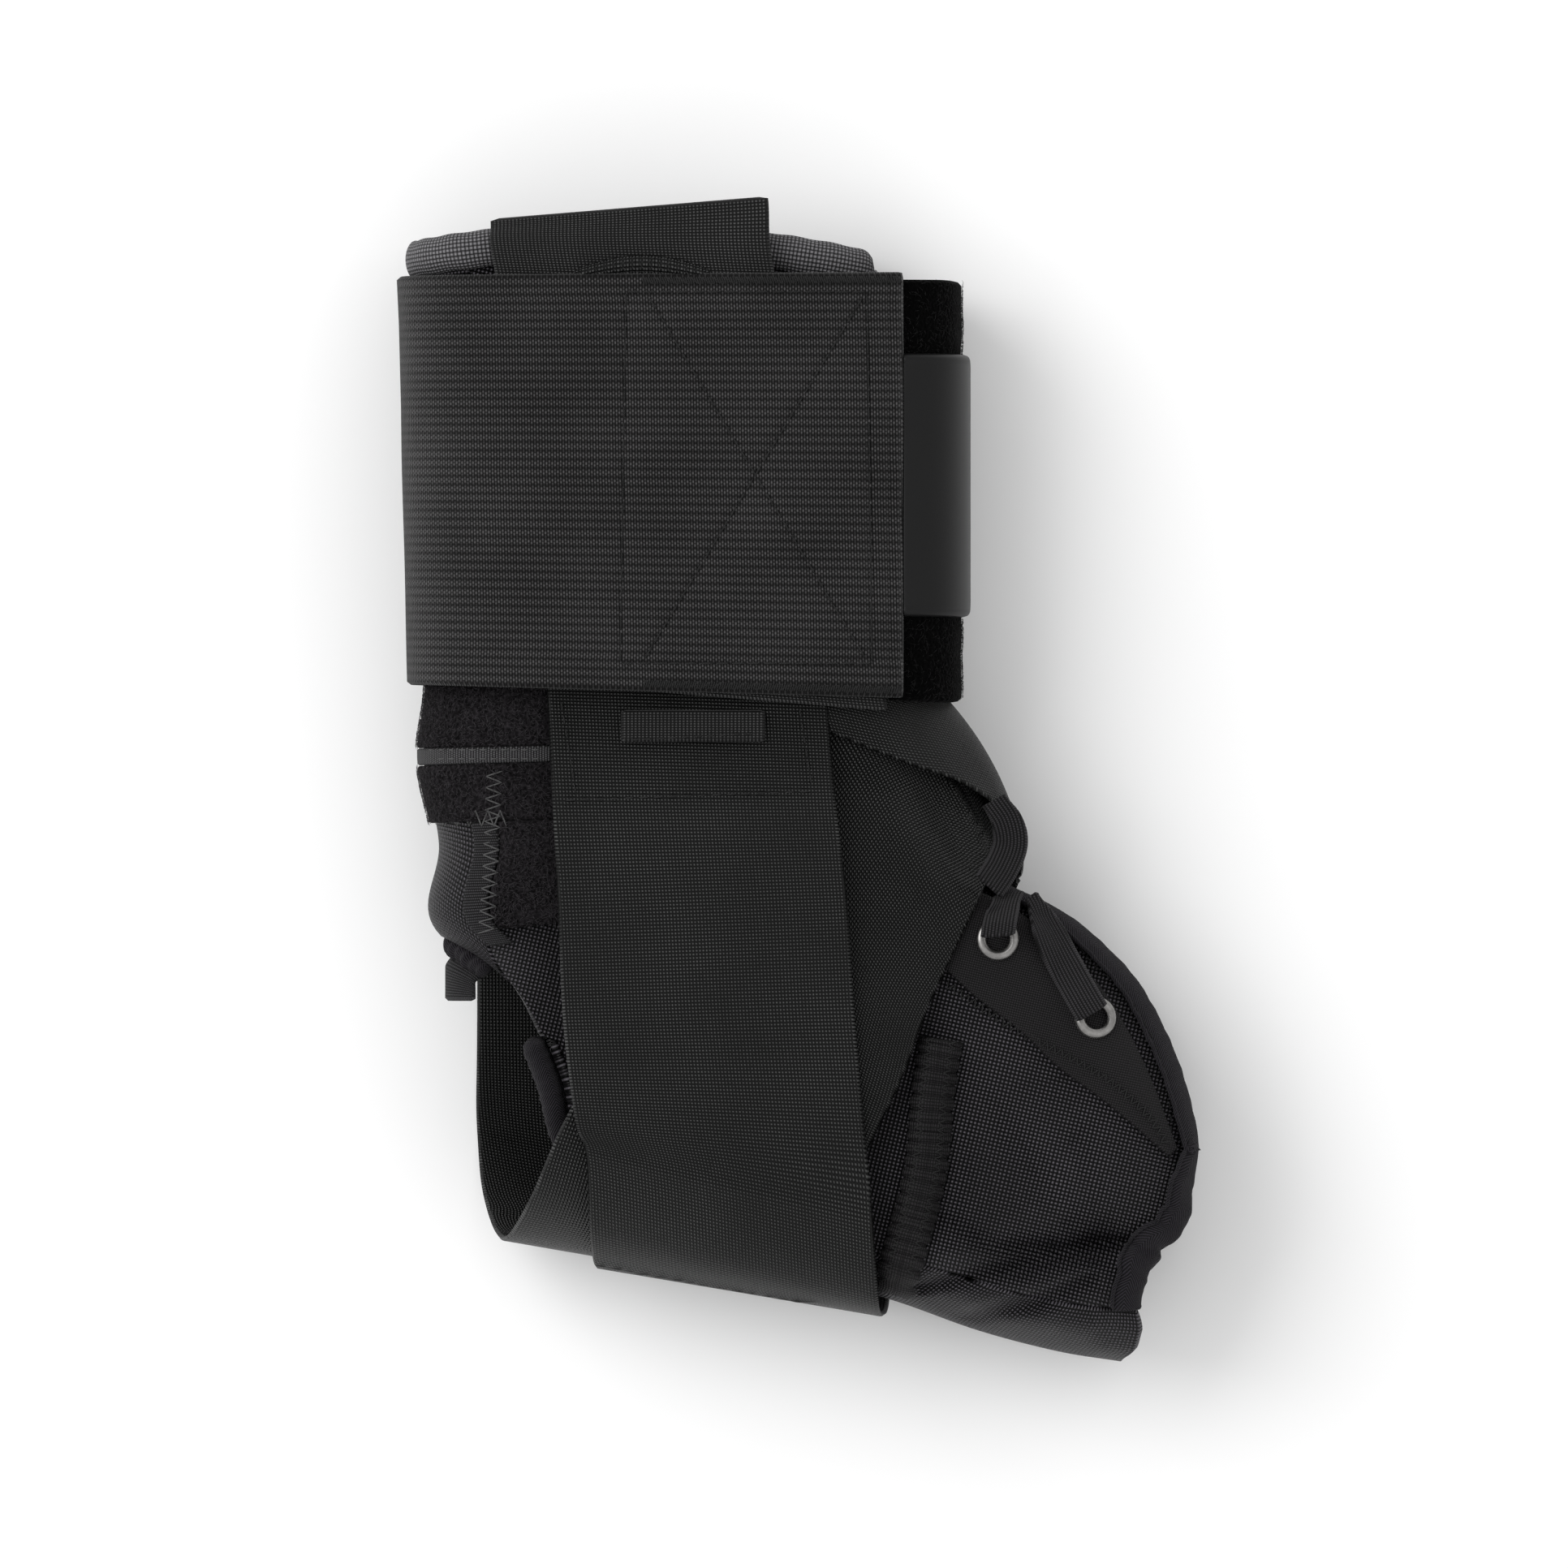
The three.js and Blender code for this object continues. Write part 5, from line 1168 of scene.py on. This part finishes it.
# Gathered channel across the foot, with an uneven beat of ruffles along it
channel = spline(plan_of(CHANNEL), 240)
channel_tangent = unit(np.gradient(channel, axis=0))
channel_across = np.stack([-channel_tangent[:, 1], channel_tangent[:, 0]], -1)
run = lengths_along(channel)
share = np.linspace(-0.5, 0.5, 21)[None, :]
beat = np.cos(run * 2 * math.pi / 2.3 + 1.1 * np.sin(run / 2.7) + 0.7 * np.sin(run / 1.3))[:, None]
swing = RUFFLE_DEPTH * 0.7 * beat * np.sign(share) * (2 * np.abs(share)) ** 2
plan = channel[:, None] + (share * CHANNEL_WIDTH + swing)[..., None] * channel_across[:, None]
lobes = 0.28 * np.abs(np.sin(share * 2 * math.pi))
crest = CHANNEL_HEIGHT * 0.85 * (1 - 4 * share**2) + beat * 0.17 * (1 - (2 * share) ** 4) + lobes
base = near.softened(1, 2).at(plan[..., 0], plan[..., 1])
channel_grid = np.concatenate([plan, (base + CLEAR * 0.5 + crest)[..., None]], -1)
cloth("channel_gathered", channel_grid, 0, TRIM, FINE_MESH, ["gather_channel"])
near.stamp(channel_grid, TRIM)


def sheet(name, grid, thickness, finish, node, normals=None, rim=0.5):
    """A cloth with half its thickness on each side of a grid"""
    cloth(name, grid, -thickness / 2, thickness / 2, finish, [node], normals, rim=rim)


# Laces: flat woven runs at the instep. Each starts narrow, where it comes out, may reach back
# past its first point, and may lie higher than the layers need.
LACE_STEPS = 70
LEAD_STEPS = 11            # steps of the stretch that leads in before the first point


def lace(name, narrow_start, reach, lift):
    rows = LACES["lace_" + name]
    row = rows_along(rows, LACE_STEPS)
    width = LACE_WIDTH * mix(narrow_start, 1, ease(np.linspace(0, 2.2, LACE_STEPS)))
    angle = np.radians(row["turn"])
    across = np.stack([np.cos(angle), np.sin(angle), 0 * angle], -1)
    share = np.linspace(-0.5, 0.5, 13)
    middle = joined(row["x"] * WIDTH, row["y"] * HEIGHT, row["z"] * DEPTH)
    lead = unit(middle[0] - middle[3]) * np.linspace(reach, 0, LEAD_STEPS + 1)[:-1, None]
    middle = np.concatenate([middle[0] + lead, middle])
    across = np.concatenate([np.repeat(across[:1], LEAD_STEPS, 0), across])
    width = np.concatenate([np.repeat(width[:1], LEAD_STEPS), width])
    grid = middle[:, None] + (share[None, :] * width[:, None])[..., None] * across[:, None]
    grid[..., 2] += 0.25 * (1 - 4 * share**2)
    grid = rest_on(grid, [near.softened(1, 4)], LACE / 2 + 2 * CLEAR + lift)
    sheet("lace_run_" + name, grid, LACE, LACE_CLOTH, "lace_" + name)


lace("instep", narrow_start=0.7, reach=0, lift=0.9)
lace("upper", narrow_start=0.9, reach=2.8, lift=0)
lace("lower", narrow_start=0.35, reach=0, lift=0)


# Straps
def strap_grid(rows, low, high, along, across):
    row = upright_rows(rows, along)
    angle = np.radians(row["turn"])
    share = np.linspace(-0.5, 0.5, across)[None, :]
    plan = plan_of(row)
    width = share * row["span"] * WEBBING_WIDTH
    bulge = row["bow"] * WEBBING_WIDTH * (1 - 4 * share**2)
    plan = plan + width[..., None] * np.stack([np.cos(angle), np.sin(angle)], -1)
    plan = plan + bulge[..., None] * np.stack([-np.sin(angle), np.cos(angle)], -1)
    height = mix(low, high, np.clip(mix(row["left"], row["right"], share + 0.5), 0, 1))
    grid = np.concatenate([plan, height[..., None]], -1)
    return rest_on(grid, [near.softened(2, 6), far.softened(2, 6)], WEBBING / 2 + CLEAR)


cross_grid = strap_grid(CROSS_STRAP, INNER_LOW, INNER_HIGH, along=300, across=46)
# The cross strap wears the copy of the webbing darkened with painted shade
sheet("strap_cross", cross_grid, WEBBING, SHADED_CROSS_CLOTH, "cross_strap")
stamp_both(cross_grid, WEBBING / 2)
side_grid = strap_grid(SIDE_STRAP, OUTER_LOW, OUTER_HIGH, along=330, across=52)
strap_waves = ripple(side_grid[..., 0], side_grid[..., 1], *STRAP_WAVES)
side_grid[..., 2] += strap_waves * (side_grid[..., 2] > MIDDLE)
sheet("strap_side", side_grid, WEBBING, WEBBING_CLOTH, "side_strap")
side_top = Relief(1).stamp(side_grid, WEBBING / 2)
near.stamp(side_grid, WEBBING / 2)

# Cuff: a flattened ring of elastic, closed at the front by the pile panel
cuff_left, cuff_right = CUFF["left"] * WIDTH, CUFF["right"] * WIDTH
cuff_middle = (cuff_left + cuff_right) / 2
cuff_half = (cuff_right - cuff_left) / 2


def cuff_section(x, inset):
    """Half height of the ring at a place across it"""
    share = np.abs(x - cuff_middle) / (cuff_half - inset)
    past = np.clip((share - CUFF_FLAT) / (1 - CUFF_FLAT), 0, 1)
    return (MIDDLE - inset) * (1 - past**CUFF_POWER) ** (1 / CUFF_POWER)


def ring_angle(x, inset, side):
    share = (x - cuff_middle) / (cuff_half - inset)
    return side * math.acos(min(max(math.copysign(abs(share) ** (CUFF_POWER / 2), share), -1), 1))


def cuff_ring(inset, start, stop, at):
    angle = np.linspace(start, stop, 4001)
    half = cuff_half - inset
    x = cuff_middle + half * np.sign(np.cos(angle)) * np.abs(np.cos(angle)) ** (2 / CUFF_POWER)
    line = np.stack([x, MIDDLE + np.sign(np.sin(angle)) * cuff_section(x, inset)], -1)
    lengths = np.concatenate([[0], np.cumsum(np.hypot(np.diff(line[:, 0]), np.diff(line[:, 1])))])
    return points_at(line, lengths, np.asarray(at) * lengths[-1])


def cuff_grid(ring, top_share, bottom_share, rows):
    across = (ring[:, 0] - cuff_left) / (cuff_right - cuff_left)
    top = mix(CUFF["topLeft"], CUFF["topRight"], across) * HEIGHT * top_share
    bottom = mix(CUFF["bottomLeft"], CUFF["bottomRight"], across) * HEIGHT * bottom_share
    y = mix(top[None, :], bottom[None, :], np.linspace(0, 1, rows)[:, None])
    return joined(ring[:, 0], y, ring[:, 1])


def upright_normals(grid, row, column):
    """Normals of a grid, on the side that looks up at a row and column"""
    normals = grid_normals(grid)
    return normals * np.sign(normals[row, column, 2])


# Seams of the elastic: a box with a cross in it, as places in the photo's pixels
BOX_SEAM = [(772, 362), (1068, 362), (1074, 818), (765, 818), (772, 362)]
CROSS_SEAMS = [[(800, 368), (1066, 812)], [(1063, 368), (795, 812)]]
seams = [photo(BOX_SEAM[k:k + 2]) for k in range(4)] + [photo(line) for line in CROSS_SEAMS]
SEAM_REACH = 0.9
SEAM_DEPTH = 0.42
ELASTIC_LEAN = 1.9         # how far the lower end of the left fold leans in towards the heel
HEM_WIDTH = 1.9            # hem of the elastic's near end
HEM_RISE = 0.3

elastic_at = np.concatenate([np.linspace(0, 0.42, 190), np.linspace(0.42, 1, 70)[1:]])
elastic_from = ring_angle(ELASTIC_NEAR_END * WIDTH, ELASTIC / 2, 1)
elastic_to = 2 * math.pi + ring_angle(ELASTIC_FAR_END * WIDTH, ELASTIC / 2, -1)
elastic_grid = cuff_grid(cuff_ring(ELASTIC / 2, elastic_from, elastic_to, elastic_at), 1, 1, 130)
near_side = elastic_grid[..., 2] > MIDDLE
lean = np.clip((cuff_middle - elastic_grid[..., 0]) / (cuff_middle - cuff_left), 0, 1)
elastic_grid[..., 0] += ELASTIC_LEAN * lean * np.linspace(0, 1, elastic_grid.shape[0])[:, None]
elastic_x, elastic_y = elastic_grid[..., 0], elastic_grid[..., 1]
seam_depth = groove(elastic_x, elastic_y, seams, SEAM_REACH) * SEAM_DEPTH * near_side
wavy = ripple(elastic_x, elastic_y, *ELASTIC_WAVES) * near_side
hem = (ELASTIC_NEAR_END * WIDTH - elastic_x) / HEM_WIDTH
hem_shape = np.exp(-((hem - 0.45) / 0.4) ** 2) - 0.9 * np.exp(-((hem - 1.15) / 0.18) ** 2)
elastic_normals = upright_normals(elastic_grid, 40, 40)
elastic_grid += elastic_normals * (wavy - seam_depth + HEM_RISE * hem_shape * near_side - 0.25)[..., None]
sheet("elastic_band", elastic_grid, ELASTIC, ELASTIC_CLOTH, "cuff_elastic", elastic_normals, 0.4)
elastic_top = Relief(1).stamp(elastic_grid, ELASTIC / 2)

# Pile panel at the front of the cuff: its corners draw in towards the fold
CORNER_PIXELS = (1150, 1197)
CORNER_DRAW = 0.035
pile_inset = ELASTIC + CLEAR + PILE / 2
pile_ends = (ring_angle(PILE_NEAR_START * WIDTH, pile_inset, 1),
             ring_angle(PILE_FAR_END * WIDTH, pile_inset, -1))
pile_grid = cuff_grid(cuff_ring(pile_inset, *pile_ends, np.linspace(0, 1, 120)), PILE_TOP, PILE_BOTTOM, 100)
corner_from, corner_to = photo([(pixel, 0) for pixel in CORNER_PIXELS])[:, 0]
corner = np.clip((pile_grid[..., 0] - corner_from) / (corner_to - corner_from), 0, 1) ** 3
pile_middle = pile_grid[..., 1].mean()
pile_grid[..., 1] = pile_middle + (pile_grid[..., 1] - pile_middle) * (1 - CORNER_DRAW * corner)
pile_normals = upright_normals(pile_grid, 40, 10)
pile_grid += pile_normals * ripple(pile_grid[..., 1], pile_grid[..., 2], *PILE_WAVES)[..., None]
sheet("pile_panel", pile_grid, PILE, PILE_CLOTH, "cuff_pile_panel", pile_normals)

# Rubber label: a bare plate with a raised border, square on the left and rounded on the right
label_inset = pile_inset - PILE / 2 - CLEAR - LABEL_THICKNESS / 2
label_ends = [ring_angle(LABEL[end] * WIDTH, label_inset, 1) for end in ("left", "right")]
label_ring = cuff_ring(label_inset, *label_ends, np.linspace(0, 1, 60))
label_run = lengths_along(label_ring)
to_end = label_run[-1] - label_run
rounded = np.clip(LABEL_CORNER - to_end, 0, LABEL_CORNER)
corner_cut = LABEL_CORNER - np.sqrt(np.clip(LABEL_CORNER**2 - rounded**2, 0, None))
half = (LABEL_HEIGHT / 2 - corner_cut)[None, :] * np.linspace(-1, 1, 140)[:, None]
label_grid = joined(label_ring[None, :, 0], LABEL["middleY"] * HEIGHT + half, label_ring[None, :, 1])
label_normals = upright_normals(label_grid, 70, 20)
edge_gap = np.minimum(np.abs(half[0])[None, :] - np.abs(half), to_end[None, :])
border = 0.16 * np.exp(-((edge_gap - 0.9) / 0.35) ** 2) - 0.35 * np.clip(1 - edge_gap / 0.5, 0, 1) ** 2
label_grid = label_grid + label_normals * border[..., None]
sheet("label_bare", label_grid, LABEL_THICKNESS, RUBBER, "label_patch", label_normals, 0.3)

# Hook strap under the cuff, above the side strap
hook_row = upright_rows(HOOK_STRAP, 150)
s = np.linspace(0, 1, 44)[None, :]
hook_x = mix(hook_row["leftX"], hook_row["rightX"], s) * WIDTH
hook_y = mix(hook_row["leftY"], hook_row["rightY"], s) * HEIGHT
hook_z = MIDDLE + cuff_section(hook_x, ELASTIC + CLEAR + WEBBING / 2) - hook_row["drop"]
hook_grid = np.stack([hook_x, hook_y, hook_z + ripple(hook_x, hook_y, *HOOK_WAVES)], -1)
sheet("strap_hook", hook_grid, WEBBING, HOOK_TAPE, "hook_strap")

# Folded webbing end just above the cuff: two ribbed rolls side by side
LOOP_STEPS = 90
s = np.linspace(0, 1, 22)[:, None]
x = mix(LOOP_END["left"], LOOP_END["right"], np.linspace(0, 1, LOOP_STEPS))[None, :] * WIDTH
swell = np.sin(np.linspace(0, 1, LOOP_STEPS) * math.pi)[None, :]
loop_top = (CUFF["topLeft"] + LOOP_END["rise"] * (0.5 + swell)) * HEIGHT
loop_y = mix(loop_top, (CUFF["topLeft"] - 2 * LOOP_END["gap"]) * HEIGHT, s)
rolls = LOOP_HEIGHT * np.abs(np.sin(s * 2 * math.pi)) ** 0.7 + 0.08 * np.sin(x * 2 * math.pi / 0.9)
loop_z = DEPTH - ELASTIC - 0.4 + rolls - 0.9 * (1 - np.clip(swell * 3, 0, 1)) ** 2
sheet("loop_folded", joined(x, loop_y, loop_z), WEBBING, WEBBING_CLOTH, "strap_loop", rim=0.6)

# Second layer of webbing stitched to the side strap
patch_y = mix(PATCH["top"], PATCH["bottom"], np.linspace(0, 1, 36))[:, None] * HEIGHT
patch_x = mix(PATCH["left"], PATCH["right"], np.linspace(0, 1, 64))[None, :] * WIDTH
patch_base = side_top.softened(1, 3).at(*np.broadcast_arrays(patch_x, patch_y))
patch_grid = joined(patch_x, patch_y, patch_base + WEBBING / 2 + 0.15)
sheet("patch_stitched", patch_grid, WEBBING, HOOK_TAPE, "stitched_patch")
patch_top = Relief(1).stamp(patch_grid, WEBBING / 2)

# Pull tab that hangs off the gathered heel binding
TAB_SHIFT = 1.5
tab_x, tab_y, tab_z = hem_point(np.linspace(PULL_TAB["start"], PULL_TAB["stop"], 24)).T[:, None, :]
s = np.linspace(0, 1, 40)[:, None]
tab_y = mix(tab_y - (PIPING_RADIUS - 2 * CLEAR), PULL_TAB["bottom"] * HEIGHT, s)
tab_grid = joined(tab_x - TAB_SHIFT * ease(s * 3), tab_y, tab_z + PULL_TAB["rise"] * s)
sheet("tab_pull", tab_grid, WEBBING, BLACK_GROSGRAIN, "pull_tab")


# Stitches, whose threads narrow where they go into the cloth
STITCH_TAPER = 0.35


def stitches(name, relief, cuts, lift, arch, radius, finish):
    starts, ends = (on_relief(relief, np.concatenate(plan), lift) for plan in zip(*cuts))
    threads(name, starts, ends, (0, 0, relief.side), radius, arch, finish, taper=STITCH_TAPER)


def dashes(name, relief, lines, length, gap, radius, finish=THREAD):
    cuts = [cut_line(line, length, gap) for line in lines]
    stitches(name, relief, cuts, 0, 0.12 + radius * 0.4, radius, finish)


def zigzags(name, relief, lines, width, pitch, radius=0.13, finish=THREAD):
    cuts = [zigzag_line(line, width, pitch) for line in lines]
    stitches(name, relief, cuts, 0.03, 0.1, radius, finish)


# Seams as places in the photo's pixels
STRAP_SEAMS = [[(695, 986), (1000, 975)], [(692, 862), (711, 980)], [(985, 872), (1000, 968)]]
PATCH_SEAM = [(776, 912), (930, 904)]
GROSGRAIN_SEAMS = [[(525, 924), (668, 924)], [(525, 935), (668, 935)]]
BACK_ZIGZAGS = [[(541, 1008), (625, 1008)], [(610, 950), (606, 1060), (600, 1150)]]
EYESTAY_SEAM = [(1165, 1211), (1215, 1245), (1262, 1274), (1324, 1305), (1373, 1336), (1414, 1374),
                (1436, 1408)]
BINDING_SEAM = [(1327, 1163), (1345, 1187), (1387, 1222), (1418, 1274), (1437, 1326), (1442, 1381),
                (1440, 1430)]
SELVAGE_REACH = 1.4        # length of the overcast threads along the edges of the elastic

dashes("stitches_cuff", elastic_top, seams, length=2.3, gap=0.7, radius=0.17)
dashes("stitches_strap", side_top, map(photo, STRAP_SEAMS), length=1.7, gap=1.0, radius=0.15)
dashes("stitches_patch", patch_top, [photo(PATCH_SEAM)], length=1.6, gap=0.9, radius=0.15)
dashes("stitches_grosgrain", near, map(photo, GROSGRAIN_SEAMS), length=1.2, gap=0.8,
       radius=0.14, finish=GREY_THREAD)
zigzags("zigzag_back", near, map(photo, BACK_ZIGZAGS), width=2.9, pitch=2.0, radius=0.15,
        finish=GREY_THREAD)
columns = np.arange(elastic_grid.shape[1])
for name, row, turn in (("top", 0, -1), ("bottom", -1, 1)):
    line = points_at(elastic_grid[row], columns, np.linspace(0, 0.4, 115) * len(columns))
    line = line[line[:, 2] > MIDDLE + 6]
    starts = line + np.array([-0.25, 0.1 * turn, ELASTIC / 2])
    ends = line + np.array([0.25, SELVAGE_REACH * turn, ELASTIC / 2 + 0.05])
    threads(f"selvage_{name}", starts, ends, (0, 0, 1), 0.17, 0.12, THREAD, taper=STITCH_TAPER)
zigzags("zigzag_stay", near, [photo(EYESTAY_SEAM)], width=1.5, pitch=1.5)
dashes("stitches_binding", near, [photo(BINDING_SEAM)], length=1.5, gap=0.8, radius=0.12)
for name, turn in (("left", -1), ("right", 1)):
    edge_line = channel + turn * (CHANNEL_WIDTH / 2 - 1.1) * channel_across
    zigzags(f"zigzag_channel_{name}", near, [edge_line], width=1.4, pitch=1.3)


# Fibres of the loop pile, standing out of its faces and edges
def fibres(name, grid, normals, count, length, finish, seed):
    state = np.random.default_rng(seed)
    i = state.uniform(0, grid.shape[0] - 1.001, count)
    j = state.uniform(0, grid.shape[1] - 1.001, count)
    row, column = i.astype(int), j.astype(int)
    base = grid[row, column] * (1 - (i % 1))[:, None] + grid[row + 1, column] * (i % 1)[:, None]
    base = base + (grid[row, column + 1] - grid[row, column]) * (j % 1)[:, None]
    normal = normals[row, column]
    aim = unit(normal * 0.4 + state.normal(0, 0.8, (count, 3)))
    reach = length * state.uniform(0.4, 1.3, count)[:, None]
    end = base + (aim - normal * (aim * normal).sum(-1, keepdims=True)) * reach + normal * 0.15
    threads(name, base, end, normal, 0.045, 0.3, finish, rings=4, sides=3)


fibres("fibres_panel", pile_grid + pile_normals * PILE / 2, pile_normals, count=5200, length=1.5,
       finish=FIBRE, seed=41)
for k, (band, count) in enumerate(zip(pile_bands, (2600, 2200, 1600))):
    out = upright_normals(band, -1, -1)
    fibres(f"fibres_band_{k + 1}", band + out * TRIM, out, count, length=1.3, finish=BAND_FIBRE, seed=50 + k)

# Floor, light and camera
bpy.ops.mesh.primitive_plane_add(size=12)
floor = bpy.context.object
floor.name = "floor"
paper = Pattern("floor_paper", 0.9)
paper.colour(paper.noise(3.0), grey(0.93), grey(0.95), 0.1, 2.0)
floor.data.materials.append(paper.material)


def area_light(name, place, size, power):
    """A soft square light that looks at the middle of the floor"""
    light = bpy.data.objects.new(name, bpy.data.lights.new(name, "AREA"))
    light.data.size = size
    light.data.energy = power
    light.location = place
    aim = -np.array(place) / np.linalg.norm(place)
    light.rotation_euler = (math.acos(-aim[2]), 0, math.atan2(-aim[0], aim[1]))
    bpy.context.scene.collection.objects.link(light)


area_light("key", (-1.15, 0.6, 1.4), size=1.4, power=20.0)
area_light("fill", (0.9, -0.6, 1.6), size=1.8, power=3.0)
world = bpy.context.scene.world or bpy.data.worlds.new("World")
bpy.context.scene.world = world
world.use_nodes = True
backdrop = world.node_tree.nodes["Background"]
backdrop.inputs["Color"].default_value = (1, 1, 1, 1)
backdrop.inputs["Strength"].default_value = 0.82
bpy.context.scene.view_settings.view_transform = "Standard"

CAMERA_LENS = 600
CAMERA_SENSOR = 36
OBJECT_FROM_FLOOR = 25     # height that the photo's scale is taken at
VIEW_WIDTH = PHOTO_PIXELS * PX
view_middle = photo([PHOTO_PIXELS / 2, PHOTO_PIXELS / 2]) + SHIFT[:2]
camera = bpy.data.objects.new("camera", bpy.data.cameras.new("camera"))
camera.data.lens = CAMERA_LENS
camera.data.sensor_width = CAMERA_SENSOR
camera.data.clip_end = 50
distance = VIEW_WIDTH * CAMERA_LENS / CAMERA_SENSOR + OBJECT_FROM_FLOOR
camera.location = (*(view_middle / 1000), distance / 1000)
bpy.context.scene.collection.objects.link(camera)
bpy.context.scene.camera = camera
